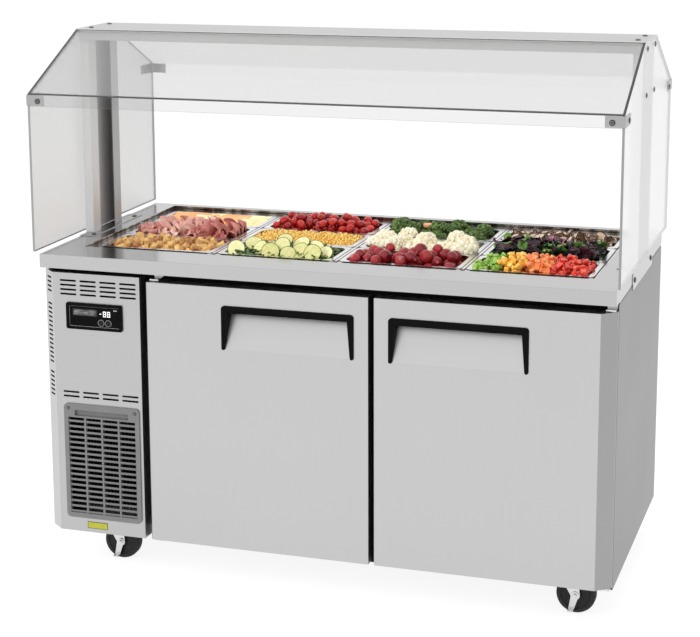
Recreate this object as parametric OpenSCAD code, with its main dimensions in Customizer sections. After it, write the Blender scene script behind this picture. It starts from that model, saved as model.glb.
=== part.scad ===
// Mobile refrigerated salad bar: a two-door chilled cabinet on casters with a
// recessed well for twelve food pans under a double-sided sneeze guard.
// Millimetres. X runs to the right, the front faces -Y, Z is up, and the
// origin lies on the floor under the middle of the counter.

/* [Counter] */
// Width of the counter beyond the outer pans
end_margin = 80; // [76:1:110]
// Depth of the counter in front of the pans
front_margin = 178.5; // [170:0.5:200]
// Depth of the counter behind the pans
rear_margin = 50.5; // [48:0.5:70]
// Height of the counter above the floor
counter_h = 860; // [840:5:900]
// Height of the folded apron round the counter
apron_h = 36; // [28:1:42]
// Thickness of the steel sheet
sheet_t = 2; // [1.5:0.5:2.5]

/* [Cabinet] */
// Height of the underside of the base above the floor
base_z = 128; // [126:1:136]
// Height of the base frame
base_h = 22; // [18:1:26]
// Height of the lower edge of the side and rear panels
skirt_z = 100; // [92:1:108]
// Dark reveal between the counter apron and the side panels
reveal_h = 6; // [4:1:8]
// Width of the machine bay front, left of the doors
bay_w = 280; // [270:2:290]
// Thickness of the insulation beside and under the chill room
insulation_t = 45; // [40:1:48]
// Thickness of the insulated slab between the chill room and the pan well
slab_t = 40; // [30:2:44]
// Thickness of the breaker frame behind the doors
frame_t = 12; // [10:1:14]

/* [Doors] */
// Thickness of a door
door_t = 42; // [40:1:46]
// Height of the lower edge of the doors
door_z = 112; // [110:1:118]
// Gap between the counter apron and the top of the doors
door_top_gap = 20; // [17:1:24]
// Gap beside and between the doors
door_gap = 16; // [14:1:18]
// Width of the slanted corner of the front
bevel_w = 36; // [30:1:42]
// Depth of the slanted corner of the front
bevel_d = 32; // [28:1:36]
// Thickness of the door gasket
gasket_t = 6; // [5:0.5:7]
// Width of the door gasket
gasket_w = 14; // [10:1:16]
// Distance from the door edge to its gasket
gasket_inset = 20; // [18:1:22]
// Distance from the hinge edge of the left door to its hinge pin
pin_inset = 15; // [13:1:17]
// Diameter of a hinge pin
pin_d = 7; // [6:0.5:7]
// Depth of the hinge pin in the door
pin_depth = 15; // [10:1:20]

/* [Door handles] */
// Width of a handle
handle_w = 350; // [300:5:380]
// Height of a handle
handle_h = 115; // [100:5:130]
// Height of the grip bar at the top of a handle
grip_h = 18; // [15:1:22]
// Width of a handle leg at its top
leg_top_w = 17; // [14:1:20]
// Width of a handle leg at its foot
leg_foot_w = 10; // [8:1:12]
// Depth of the finger recess under the grip
recess_d = 32; // [26:1:34]
// Distance the handle stands proud of the door
handle_proud = 3; // [2:0.5:4]
// Distance from the free edge of a door to its handle
handle_margin = 37; // [32:1:45]
// Distance from the top of a door to its handle
handle_drop = 47; // [40:1:55]

/* [Machine bay] */
// Length of one vent slot
vent_l = 46; // [40:1:48]
// Height of one vent slot
vent_h = 5; // [4:0.5:6]
// Pitch of the vent columns
vent_pitch_x = 56; // [54:0.5:57]
// Pitch of the vent rows
vent_pitch_z = 12; // [11:0.5:14]
// Width of the intake grille
grille_w = 215; // [205:1:220]
// Height of the intake grille
grille_h = 313; // [300:1:320]
// Height of the lower edge of the intake grille
grille_z = 151; // [150:1:156]
// Number of louvres in the intake grille
louvre_n = 18; // [14:1:20]
// Width of the control panel
control_w = 158; // [150:1:165]
// Height of the control panel
control_h = 70; // [66:1:74]
// Distance from the top of the machine panel down to the middle of the control panel
control_drop = 112; // [108:1:114]
// Diameter of a push button
button_d = 14; // [12:0.5:15]
// Radius of the condenser fan blades
fan_r = 86; // [80:1:90]
// Radius of the compressor shell
compressor_r = 82; // [76:1:86]
// Height of the compressor shell
compressor_h = 215; // [200:5:240]

/* [Pans] */
// Width of a pan over its rim
pan_w = 325; // [323:0.5:326]
// Depth front to back of a pan over its rim
pan_l = 176; // [174:0.5:176.5]
// Height of a pan
pan_h = 150; // [100:5:155]
// Width of the pan rim
pan_rim = 12; // [11:0.5:13]
// Wall thickness of a pan
pan_t = 1.2; // [1:0.1:1.5]
// Radius of the upright corners of a pan
pan_r = 26; // [20:1:30]
// Depth of the pan rims below the counter
pan_drop = 10; // [8:1:14]
// Gap between the pan columns, filled by a bar
column_gap = 10; // [8:0.5:12]
// Gap between the pans of one column
row_gap = 1; // [0.5:0.5:2]
// Height of the pan well below the pan rims
well_h = 186; // [170:2:190]

/* [Sneeze guard] */
// Height of the top of the guard above the counter
guard_h = 560; // [500:5:600]
// Height of the bend in the sloping glass above the counter
knee_h = 418; // [380:2:430]
// Height of the upright lip below that bend
lip_h = 31; // [24:1:40]
// Thickness of the glass
glass_t = 6; // [5:0.5:8]
// Distance the end glass stands above the counter
glass_lift = 8; // [6:1:12]
// Distance the sloping glass stands out beyond the counter
glass_out = 14; // [10:1:18]
// Depth front to back of the top beam
beam_d = 200; // [180:2:220]
// Height of the top beam
beam_h = 30; // [26:1:36]
// Depth front to back of a post
post_d = 182; // [160:2:190]
// Width of a post
post_w = 25; // [22:1:30]
// Width of the returned lip of a post
post_lip = 44; // [30:1:46]
// Width of a corner bracket on the front glass
bracket_w = 48; // [42:1:54]
// Length of a corner bracket on the end glass
bracket_l = 72; // [66:1:80]

/* [Casters] */
// Diameter of a wheel
wheel_d = 100; // [90:1:102]
// Width of a wheel
wheel_w = 32; // [28:1:34]
// Distance from the swivel axis back to the wheel axle
trail = 28; // [24:1:32]
// Distance of the swivel axes from the ends of the counter
caster_inset_x = 130; // [120:2:140]
// Distance of the front swivel axes from the front of the counter
caster_inset_front = 130; // [125:1:140]
// Distance of the rear swivel axes from the back of the counter
caster_inset_rear = 110; // [105:1:125]
// Diameter of a wheel axle
axle_d = 10; // [8:0.5:12]

/* [Fits] */
// Running gap all round a pin, shaft or button
run_fit = 0.05; // [0.02:0.01:0.08]
// Gap between faces that slide or part
face_gap = 0.3; // [0.2:0.05:0.4]

/* [Hidden] */
$fn = 48;
columns = 4;
rows = 3;
column_pitch = pan_w + column_gap;
row_pitch = pan_l + row_gap;
half_w = columns * column_pitch / 2 + end_margin;
counter_d = rows * row_pitch + front_margin + rear_margin;
front_y = -counter_d / 2;
rear_y = counter_d / 2;
in_x = half_w - sheet_t;                    // inner face of a side panel
in_rear_y = rear_y - sheet_t;               // inner face of the rear panel

door_back_y = front_y + door_t;
frame_y = door_back_y + gasket_t;           // front face of the breaker frame
body_y = frame_y + frame_t;                 // front face of the insulated body
door_top = counter_h - apron_h - door_top_gap;
side_top = counter_h - apron_h - reveal_h;
base_top = base_z + base_h;

bay_x = -half_w + bay_w;                    // right edge of the machine panel
wall_x = bay_x + door_gap / 2;              // bay side of the insulated body
door_x = bay_x + door_gap + 1;              // hinge edge of the left door
door_w = (half_w - door_x - door_gap + 1) / 2;
mid_x = door_x + door_w + door_gap / 2;     // middle of the post between the doors
post_half = 43;                             // half width of that post
// Hinge pins, from the hinge edge: the right one sits back behind the slanted corner.
pin_left = [pin_inset, front_y + door_t / 2 - 1];
pin_right = [pin_inset - 3, door_back_y - 12];

rim_z = counter_h - pan_drop;               // top of the pan rims
rim_t = 2;
ledge_z = rim_z - rim_t;                    // ledge that carries the rims
well_floor = rim_z - well_h;                // upper face of the well floor
chill_x = [wall_x + insulation_t, half_w - gasket_inset - gasket_w - 2];
slab_z = well_floor - sheet_t - slab_t;      // underside of the slab over the bay
chill_z = [base_top + insulation_t, slab_z - 10];
chill_rear = in_rear_y - insulation_t;
shelf_rise = 190;
shelf_z = chill_z[0] + shelf_rise;          // underside of the wire shelves
strip_t = 6;                                // shelf support strips
coil_x = [-60, 440];                        // evaporator cover
coil_d = 130;
coil_h = 92;

// The well opening is set out from the pans.
pan_body_w = pan_w - 2 * pan_rim;
pan_body_l = pan_l - 2 * pan_rim;
row_mid = (front_margin - rear_margin) / 2; // middle pan row behind the counter middle
well_in_x = (columns - 1) / 2 * column_pitch + pan_body_w / 2 + 2;
well_in_y = [row_mid - row_pitch - pan_body_l / 2 - 2, row_mid + row_pitch + pan_body_l / 2 + 2];
ledge_x = 23;                               // ledge beside the pans
cut_x = well_in_x + ledge_x;                // counter cut-out, half width
front_ledge = 72;                           // ledge in front of the pans
back_ledge = 34;                            // ledge behind the pans
cut_y = [well_in_y[0] - front_ledge, well_in_y[1] + back_ledge];  // counter cut-out, front and back

guard_top = counter_h + guard_h;
knee_z = counter_h + knee_h;
glass_z = counter_h + glass_lift;
glass_y = rear_y + glass_out;
foot_y = [-137, 188];
foot_w = 40;
foot_fold = 54;
glass_x = half_w + sheet_t + 3;             // inner face of an end glass
end_x = glass_x + glass_t;                  // outer face of an end glass
slope = (guard_top - knee_z) / (glass_y - beam_d / 2);
slope_t = glass_t * sqrt(1 + slope * slope);

panel_x = -half_w + bevel_w;                // left edge of the flat machine panel
panel_top = side_top - 4;
control_z = panel_top - control_drop;
vent_x = panel_x + 20;
grille_x = bay_x - 8 - grille_w;
control_x = bay_x - 49 - control_w;
button_x = [control_x + 98, control_x + 118];
button_z = control_z - 15;
button_travel = 1.5;
bezel_t = 5;

fan_inset = 135;
fan_x = bay_x - fan_inset;
fan_z = 310;
condenser_d = 40;
condenser_y = [front_y + 42, front_y + 42 + condenser_d];
condenser_half = 112;
condenser_rise = 150;
condenser_top = fan_z + condenser_rise;
shroud_y = condenser_y[1] + 2;
compressor_y = 10;
tray_half = 100;                            // drain tray behind the compressor
tray_d = 150;
tray_back = in_rear_y - 38;
tray_y = [tray_back - tray_d, tray_back];
tray_h = 45;

screw_r = 4;
shank_r = 2;
caster_x = half_w - caster_inset_x;
caster_y = [front_y + caster_inset_front, rear_y - caster_inset_rear];
wheel_r = wheel_d / 2;
crown_z = base_z - 20;
leg_y = wheel_w / 2 + 3;
leg_t = 3;

// ---------------------------------------------------------------- helpers

// A box between two corners, given as its reach along each axis.
module block(x, y, z) {
    translate([x[0], y[0], z[0]]) cube([x[1] - x[0], y[1] - y[0], z[1] - z[0]]);
}

// The children, and the same mirrored to the other end of the counter.
module both_ends() {
    children();
    mirror([1, 0, 0]) children();
}

// The children, and the same mirrored to the back.
module front_and_back() {
    children();
    mirror([0, 1, 0]) children();
}

// A flat outline in X and Z, given thickness from y0 to y1.
module upright(y0, y1) {
    translate([0, y1, 0]) rotate([90, 0, 0]) linear_extrude(y1 - y0) children();
}

// A flat outline in Y and Z, given thickness from x0 to x1.
module endwise(x0, x1) {
    translate([x0, 0, 0]) rotate([90, 0, 90]) linear_extrude(x1 - x0) children();
}

// A rectangle with round corners, from its lower left corner.
module round_rect(w, h, r) {
    translate([r, 0]) square([w - 2 * r, h]);
    translate([0, r]) square([w, h - 2 * r]);
    for (x = [r, w - r], y = [r, h - r]) translate([x, y]) circle(r);
}

// A slot with round ends, from its lower left corner.
module slot(l, h) {
    translate([h / 2, 0]) square([l - h, h]);
    for (x = [h / 2, l - h / 2]) translate([x, h / 2]) circle(h / 2, $fn = 16);
}

// ---------------------------------------------------------------- cabinet

module base_frame() color("gray") {
    difference() {
        block([-in_x, in_x], [body_y, in_rear_y], [base_z, base_top]);
        block([-half_w + 200, half_w - 200], [body_y + 30, in_rear_y - 30],
            [base_z - 1, base_top - sheet_t]);
    }
    // the tongue that carries the machine panel
    block([panel_x + sheet_t, bay_x - sheet_t], [front_y + sheet_t, body_y], [base_z, base_top]);
}

// Foamed body: the chill room low on the right, the well pocket on top.
module insulated_body() color("whitesmoke") difference() {
    union() {
        block([wall_x, in_x], [body_y, in_rear_y], [base_top, slab_z + 1]);
        block([-in_x, in_x], [body_y, in_rear_y], [slab_z, ledge_z - sheet_t]);
    }
    block(chill_x, [body_y - 1, chill_rear], chill_z);
    block([-well_in_x - sheet_t - face_gap, well_in_x + sheet_t + face_gap],
        [well_in_y[0] - sheet_t - face_gap, well_in_y[1] + sheet_t + face_gap],
        [well_floor - sheet_t, ledge_z]);
}

// Breaker frame that the gaskets close on, with the post between the doors.
module front_frame() color("dimgray") difference() {
    union() {
        block([wall_x, in_x], [frame_y, body_y], [skirt_z, ledge_z - sheet_t]);
        block([-in_x, wall_x + 1], [frame_y, body_y], [slab_z, ledge_z - sheet_t]);
    }
    for (x = [[chill_x[0], mid_x - post_half], [mid_x + post_half, chill_x[1]]])
        block(x, [frame_y - 1, body_y + 1], chill_z);
}

module side_panels() color("silver") both_ends()
    block([in_x, half_w], [frame_y, rear_y], [skirt_z, side_top]);

module rear_panel() color("silver") difference() {
    block([-in_x, in_x], [in_rear_y, rear_y], [skirt_z, side_top]);
    // outlet louvres behind the machine bay
    for (column = [0:3], row = [0:11])
        translate([-in_x + 30 + vent_pitch_x * column, 0, 260 + 2 * vent_pitch_z * row])
            upright(in_rear_y - 1, rear_y + 1) slot(vent_l, vent_h);
}

// ------------------------------------------------------------ machine bay

// Plan of the bent machine panel, inset by the sheet for its inner face.
module panel_plan(inset) {
    k = inset * (sqrt(bevel_w * bevel_w + bevel_d * bevel_d) - bevel_d) / bevel_w;
    j = inset * (sqrt(bevel_w * bevel_w + bevel_d * bevel_d) - bevel_w) / bevel_d;
    polygon([[-half_w + inset, frame_y], [-half_w + inset, front_y + bevel_d + j],
        [panel_x + k, front_y + inset], [bay_x - inset, front_y + inset], [bay_x - inset, frame_y]]);
}

module machine_panel() color("gainsboro") difference() {
    translate([0, 0, door_z]) linear_extrude(panel_top - door_z) panel_plan(0);
    translate([0, 0, door_z - 1]) linear_extrude(panel_top - door_z + 1 - sheet_t) panel_plan(sheet_t);
    // the top is folded back as a flange
    translate([0, 20, panel_top - sheet_t - 1]) linear_extrude(sheet_t + 2) panel_plan(sheet_t);
    // flat vents: four rows at the top and two above the grille
    for (column = [0:3]) {
        for (row = [0:3]) vent(vent_x + vent_pitch_x * column, panel_top - 20 - vent_pitch_z * row);
        for (row = [0:1]) vent(vent_x + vent_pitch_x * column, grille_z + grille_h + 31 - vent_pitch_z * row);
    }
    // slots across the slanted corner: groups of four, fourteen and six
    for (group = [[17, 4], [88, 14], [273, 6]], row = [0:group[1] - 1])
        translate([(panel_x - half_w) / 2, front_y + bevel_d / 2, panel_top - group[0] - vent_pitch_z * row])
            rotate([0, 0, -atan(bevel_d / bevel_w)])
                translate([-13, -8, -vent_h / 2]) cube([26, 16, vent_h]);
    translate([grille_x + 5, 0, grille_z + 5])
        upright(front_y - 1, front_y + sheet_t + 1) round_rect(grille_w - 10, grille_h - 10, 8);
    block([control_x + 5, control_x + control_w - 5], [front_y - 1, front_y + sheet_t + 1],
        [control_z - control_h / 2 + 5, control_z + control_h / 2 - 5]);
}

module vent(x, z) {
    translate([x, 0, z - vent_h / 2]) upright(front_y - 1, front_y + sheet_t + 1) slot(vent_l, vent_h);
}

// Moulded intake grille: leaning louvres over three mullions, with a finger
// slot along the top to pull it off for cleaning the condenser.
module intake_grille() color([0.3, 0.3, 0.31]) {
    proud = 4;
    behind = 8;
    window_x = grille_x + 12;
    window_w = grille_w - 24;
    window_z = grille_z + 13;
    window_h = grille_h - 50;
    pitch = window_h / louvre_n;
    difference() {
        union() {
            translate([grille_x, 0, grille_z]) upright(front_y - proud, front_y)
                round_rect(grille_w, grille_h, 12);
            translate([grille_x + 5.5, 0, grille_z + 5.5])
                upright(front_y, front_y + behind) round_rect(grille_w - 11, grille_h - 11, 7.5);
        }
        block([window_x, window_x + window_w], [front_y - 10, front_y + 20], [window_z, window_z + window_h]);
        block([grille_x + 31, grille_x + grille_w - 31], [front_y - 10, front_y + 4],
            [grille_z + grille_h - 32, grille_z + grille_h - 17]);
    }
    for (i = [0:louvre_n - 1])
        translate([window_x - 1, front_y - proud + 1, window_z + (i + 0.35) * pitch])
            rotate([-28, 0, 0]) cube([window_w + 2, 9.5, 2.2]);
    for (i = [1:3])
        block([window_x + window_w * i / 4 - 2.5, window_x + window_w * i / 4 + 2.5],
            [front_y - proud + 1, front_y + behind], [window_z - 1, window_z + window_h + 1]);
}

module control_panel() color([0.08, 0.08, 0.09]) difference() {
    union() {
        translate([control_x, 0, control_z - control_h / 2])
            upright(front_y - bezel_t, front_y) round_rect(control_w, control_h, 5);
        block([control_x + 6, control_x + control_w - 6], [front_y, front_y + 34],
            [control_z - control_h / 2 + 6, control_z + control_h / 2 - 6]);
    }
    block([control_x + 9, control_x + control_w - 9], [front_y - bezel_t - 1, front_y - bezel_t + 3],
        [control_z - control_h / 2 + 8, control_z + control_h / 2 - 8]);
    for (x = button_x)
        translate([x, front_y + 14, button_z]) rotate([90, 0, 0])
            cylinder(h = 30, d = button_d + 2 * run_fit);
}

module push_button(x) {
    translate([x, front_y + 14 - button_travel - face_gap, button_z])
        rotate([90, 0, 0]) cylinder(h = 14 + bezel_t - 1 - button_travel, d = button_d);
}
module up_button() color("darkslategray") push_button(button_x[0]);
module down_button() color("darkslategray") push_button(button_x[1]);

// Finned condenser: end plates on the base, fins between, tubes through.
module condenser() color("lightsteelblue") {
    x = [fan_x - condenser_half, fan_x + condenser_half];
    for (i = [0:24]) {
        px = x[0] + (x[1] - x[0] - 1.5) * i / 24;
        end = i == 0 || i == 24;
        block([px, px + 1.5], condenser_y, [end ? base_top : base_top + 20, condenser_top]);
    }
    for (z = [base_top + 45 : 42 : condenser_top - 20], y = [condenser_y[0] + 11, condenser_y[1] - 11])
        translate([x[0] - 6, y, z]) rotate([0, 90, 0]) cylinder(h = x[1] - x[0] + 12, d = 9);
}

// Plate with the fan ring; four arms reach back to carry the motor.
module fan_shroud() color("gray") {
    ring_r = fan_r + 6;
    difference() {
        union() {
            block([fan_x - condenser_half, fan_x + condenser_half], [shroud_y, shroud_y + sheet_t],
                [base_top, condenser_top]);
            translate([fan_x, shroud_y, fan_z]) rotate([-90, 0, 0]) cylinder(h = 36, r = ring_r + 2);
        }
        translate([fan_x, shroud_y - 1, fan_z]) rotate([-90, 0, 0]) cylinder(h = 40, r = ring_r);
    }
    difference() {
        union() {
            translate([fan_x, shroud_y + 42, fan_z]) rotate([-90, 0, 0]) cylinder(h = 48, r = 30);
            for (a = [45:90:315]) translate([fan_x, 0, fan_z]) rotate([0, a, 0]) {
                block([26, ring_r + 2], [shroud_y + 44, shroud_y + 48], [-5, 5]);
                block([ring_r, ring_r + 4], [shroud_y + 10, shroud_y + 48], [-5, 5]);
            }
        }
        translate([fan_x, shroud_y + 41, fan_z]) rotate([-90, 0, 0]) cylinder(h = 30, r = 4 + run_fit);
    }
}

module condenser_fan() color("darkgray") translate([fan_x, shroud_y + 8, fan_z]) rotate([-90, 0, 0]) {
    cylinder(h = 24, r = 22);
    cylinder(h = 60, r = 4);
    for (a = [0:72:288]) rotate([0, 0, a]) translate([18, 0, 12]) rotate([32, 0, 0])
        translate([0, -21, -1]) cube([fan_r - 20, 42, 2]);
}

// Sealed compressor can on its foot plate.
module compressor() color([0.12, 0.12, 0.13]) {
    foot_z = base_top + 16;
    translate([fan_x, compressor_y, foot_z + 4]) rotate_extrude()
        polygon([[0, 0], [compressor_r * 0.6, 0], [compressor_r * 0.92, 16], [compressor_r, 36],
            [compressor_r, compressor_h * 0.5], [compressor_r + 3, compressor_h * 0.5],
            [compressor_r + 3, compressor_h * 0.5 + 6], [compressor_r, compressor_h * 0.5 + 6],
            [compressor_r, compressor_h - 42], [compressor_r * 0.88, compressor_h - 16],
            [compressor_r * 0.6, compressor_h - 3], [0, compressor_h]]);
    block([fan_x - 90, fan_x + 90], [compressor_y - 75, compressor_y + 75], [foot_z, foot_z + 4]);
    // terminal box
    block([fan_x - 28, fan_x + 28], [compressor_y - compressor_r - 22, compressor_y - compressor_r + 20],
        [foot_z + 60, foot_z + 120]);
}

module compressor_feet() color("black")
    for (x = [fan_x - 76, fan_x + 76], y = [compressor_y - 60, compressor_y + 60])
        translate([x, y, base_top]) rotate_extrude()
            polygon([[0, 0], [13, 0], [13, 5], [9, 8], [13, 11], [13, 16], [0, 16]]);

module drain_tray() color("darkslategray") difference() {
    block([fan_x - tray_half, fan_x + tray_half], tray_y, [base_top, base_top + tray_h]);
    block([fan_x - tray_half + sheet_t, fan_x + tray_half - sheet_t],
        [tray_y[0] + sheet_t, tray_y[1] - sheet_t],
        [base_top + sheet_t, base_top + tray_h + 1]);
}

// Cooling coil under the ceiling of the chill room, in its folded cover.
module evaporator() color("gainsboro") {
    x = coil_x;
    y = [chill_rear - coil_d, chill_rear];
    z = [chill_z[1] - coil_h, chill_z[1]];
    difference() {
        block(x, y, z);
        block([x[0] + sheet_t, x[1] - sheet_t], [y[0] + sheet_t, y[1] - sheet_t], [z[0] - 1, z[1] - 4]);
        for (i = [0:7])
            block([x[0] + 40 + 54 * i, x[0] + 80 + 54 * i], [y[0] - 1, y[0] + 3], [z[0] + 25, z[0] + 60]);
    }
    for (i = [0:15])
        block([x[0] + 20 + 30 * i, x[0] + 22 + 30 * i], [y[0] + 20, y[1] - 10], [z[0] + 12, z[1] - 2]);
}

// Slotted strips up the walls of the chill room, with a clip under each shelf corner.
module shelf_supports() color("silver") {
    h = [chill_z[0] + 15, chill_z[1] - 100];
    front = body_y + 60;
    back = chill_rear - 40;
    for (y = [front, back]) {
        for (x = [[chill_x[0], chill_x[0] + strip_t], [chill_x[1] - strip_t, chill_x[1]]])
            block(x, [y, y + 24], h);
        block([chill_x[0] + strip_t, chill_x[0] + strip_t + 20], [y + 6, y + 18], [shelf_z - 8, shelf_z]);
        block([chill_x[1] - strip_t - 20, chill_x[1] - strip_t], [y + 6, y + 18], [shelf_z - 8, shelf_z]);
    }
    // the middle strips stand on the frame post and on the back wall
    for (y = [[body_y, body_y + strip_t], [chill_rear - strip_t, chill_rear]])
        block([mid_x - 12, mid_x + 12], y, h);
    block([mid_x - 26, mid_x + 26], [body_y + strip_t, body_y + strip_t + 40], [shelf_z - 8, shelf_z]);
    block([mid_x - 26, mid_x + 26], [chill_rear - strip_t - 40, chill_rear - strip_t],
        [shelf_z - 8, shelf_z]);
}

// One wire shelf, laid on its clips.
module wire_shelf(x) {
    y = [body_y + strip_t + 8, chill_rear - strip_t - 8];
    rod = 6;
    wire = 4;
    for (py = [y[0] + rod / 2, (y[0] + y[1]) / 2, y[1] - rod / 2])
        translate([x[0], py, shelf_z + rod / 2]) rotate([0, 90, 0])
            cylinder(h = x[1] - x[0], d = rod, $fn = 8);
    n = 16;
    for (i = [0:n])
        translate([x[0] + wire / 2 + (x[1] - x[0] - wire) * i / n, y[0], shelf_z + rod])
            rotate([-90, 0, 0]) cylinder(h = y[1] - y[0], d = wire, $fn = 8);
}
module shelves() color("silver") {
    wire_shelf([chill_x[0] + strip_t + 2, mid_x - 4]);
    wire_shelf([mid_x + 4, chill_x[1] - strip_t - 2]);
}

// ------------------------------------------------------------ counter

// Folded counter: top sheet, apron all round and a rim down into the well.
module worktop() color("silver") difference() {
    block([-half_w, half_w], [front_y, rear_y], [counter_h - apron_h, counter_h]);
    difference() {
        block([-in_x, in_x], [front_y + sheet_t, in_rear_y], [counter_h - apron_h - 1, counter_h - sheet_t]);
        block([-cut_x - sheet_t, cut_x + sheet_t], [cut_y[0] - sheet_t, cut_y[1] + sheet_t],
            [ledge_z, counter_h]);
    }
    block([-cut_x, cut_x], cut_y, [counter_h - apron_h - 1, counter_h + 1]);
}

module well_liner() color("lightgray") difference() {
    union() {
        block([-well_in_x - sheet_t, well_in_x + sheet_t], [well_in_y[0] - sheet_t, well_in_y[1] + sheet_t],
            [well_floor - sheet_t, ledge_z]);
        block([-cut_x - 12, cut_x + 12], [cut_y[0] - 12, cut_y[1] + 12], [ledge_z - sheet_t, ledge_z]);
    }
    block([-well_in_x, well_in_x], well_in_y, [well_floor, ledge_z + 1]);
}

// Bars between the pan columns, hung on the front and back ledges.
module divider_bars() color("silver") for (x = [-column_pitch, 0, column_pitch]) {
    gap = column_pitch - pan_w;
    block([x - gap / 2 - 10, x + gap / 2 + 10], [well_in_y[0] + 0.5, well_in_y[1] - 0.5],
        [ledge_z - 6, ledge_z]);
    block([x - gap / 2 + 1, x + gap / 2 - 1], [well_in_y[0] - 12, well_in_y[1] + 10], [ledge_z, rim_z]);
}

// One third-size pan with drawn, slightly tapered sides and a flat rim.
module pan(column, row) color("lightgray") {
    taper = (pan_body_w - 14) / pan_body_w;
    depth = pan_h - rim_t;
    x = (column - (columns - 1) / 2) * column_pitch;
    y = row_mid + (row - (rows - 1) / 2) * row_pitch;
    translate([x, y, rim_z]) difference() {
        union() {
            translate([-pan_w / 2, -pan_l / 2, -rim_t]) linear_extrude(rim_t)
                round_rect(pan_w, pan_l, pan_r - 6);
            mirror([0, 0, 1]) linear_extrude(pan_h, scale = taper)
                translate([-pan_body_w / 2, -pan_body_l / 2])
                    round_rect(pan_body_w, pan_body_l, pan_r, $fn = 24);
        }
        translate([0, 0, 1]) mirror([0, 0, 1]) linear_extrude(depth, scale = taper)
            translate([-pan_body_w / 2 + pan_t, -pan_body_l / 2 + pan_t])
                round_rect(pan_body_w - 2 * pan_t, pan_body_l - 2 * pan_t, pan_r - pan_t, $fn = 24);
    }
}

// ------------------------------------------------------------ doors

// A door is drawn with its hinge edge at x = 0 and its free edge at door_w.
module in_left_door() { translate([door_x, 0, 0]) children(); }
module in_right_door() { translate([half_w, 0, 0]) mirror([1, 0, 0]) children(); }

handle_x = door_w - handle_margin - handle_w;
handle_z = door_top - handle_drop - handle_h;
recess_x = [handle_x + 4, handle_x + handle_w - 4];
recess_z = [handle_z + 3, handle_z + handle_h - 5];

// The finger recess: a plate that slopes in under the grip.
module recess() {
    endwise(recess_x[0], recess_x[1])
        polygon([[front_y - 1, recess_z[0]], [front_y, recess_z[0]],
            [front_y + recess_d, recess_z[1] - grip_h], [front_y + recess_d, recess_z[1]],
            [front_y - 1, recess_z[1]]]);
}

module door(corner, pin) {
    difference() {
        translate([0, 0, door_z]) linear_extrude(door_top - door_z)
            polygon([[0, door_back_y], [0, front_y + corner[1]], [corner[0], front_y],
                [door_w, front_y], [door_w, door_back_y]]);
        recess();
        for (z = [door_z - 1, door_top - pin_depth - 1])
            translate([pin[0], pin[1], z]) cylinder(h = pin_depth + 2, d = pin_d + 2 * run_fit);
    }
}
module door_left() color("silver") in_left_door() door([3, 3], pin_left);
module door_right() color("silver") in_right_door() door([bevel_w, bevel_d], pin_right);

module gasket() {
    difference() {
        block([gasket_inset, door_w - gasket_inset], [door_back_y, frame_y - face_gap],
            [door_z + gasket_inset, door_top - gasket_inset]);
        block([gasket_inset + gasket_w, door_w - gasket_inset - gasket_w], [door_back_y - 1, frame_y + 1],
            [door_z + gasket_inset + gasket_w, door_top - gasket_inset - gasket_w]);
    }
}
module gasket_left() color("dimgray") in_left_door() gasket();
module gasket_right() color("dimgray") in_right_door() gasket();

// Face of the handle: a grip bar with two legs that taper to round feet.
module handle_face() {
    r = 9;
    foot_r = leg_foot_w / 2;
    difference() {
        union() {
            translate([r, handle_h - 2 * r]) square([handle_w - 2 * r, 2 * r]);
            translate([0, foot_r]) square([handle_w, handle_h - r - foot_r]);
            for (x = [r, handle_w - r]) translate([x, handle_h - r]) circle(r);
            for (x = [foot_r, handle_w - foot_r]) translate([x, foot_r]) circle(foot_r);
        }
        polygon([[leg_foot_w, -1], [leg_foot_w, foot_r], [leg_top_w, handle_h - grip_h],
            [handle_w - leg_top_w, handle_h - grip_h], [handle_w - leg_foot_w, foot_r],
            [handle_w - leg_foot_w, -1]]);
    }
}

// The moulding: its face on the door, and cheeks that line the recess.
module handle() {
    grip_t = 5;
    translate([handle_x, 0, handle_z]) upright(front_y - handle_proud, front_y) handle_face();
    difference() {
        intersection() {
            translate([handle_x, 0, handle_z]) upright(front_y, front_y + recess_d) handle_face();
            recess();
        }
        block([handle_x + leg_top_w, handle_x + handle_w - leg_top_w],
            [front_y + grip_t, front_y + recess_d + 1],
            [handle_z + handle_h - grip_h - 1, handle_z + handle_h]);
    }
}
module handle_left() color([0.08, 0.08, 0.08]) in_left_door() handle();
module handle_right() color([0.08, 0.08, 0.08]) in_right_door() handle();

// Upper and lower pivots of one door, screwed to the face of the frame.
module hinge_pair(pin) {
    x = [pin[0] - 8, pin[0] + 16];
    y = [pin[1] - 8, frame_y];
    leaf_t = 4;
    gap = 2;
    block(x, y, [door_top + gap, door_top + gap + leaf_t]);
    block(x, [frame_y - 3, frame_y], [door_top + gap, side_top]);
    translate([pin[0], pin[1], door_top - pin_depth]) cylinder(h = pin_depth + gap + 1, d = pin_d);
    block(x, y, [door_z - gap - leaf_t, door_z - gap]);
    block(x, [frame_y - 3, frame_y], [skirt_z + 1, door_z - gap]);
    translate([pin[0], pin[1], door_z - gap - 1]) cylinder(h = pin_depth + gap + 1, d = pin_d);
    // washer that the door rests on
    translate([pin[0], pin[1], door_z - gap - 1]) cylinder(h = gap + 1, d = pin_d + 8);
}
module hinge_brackets() color("silver") {
    in_left_door() hinge_pair(pin_left);
    in_right_door() hinge_pair(pin_right);
}

// ------------------------------------------------------------ sneeze guard

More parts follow.
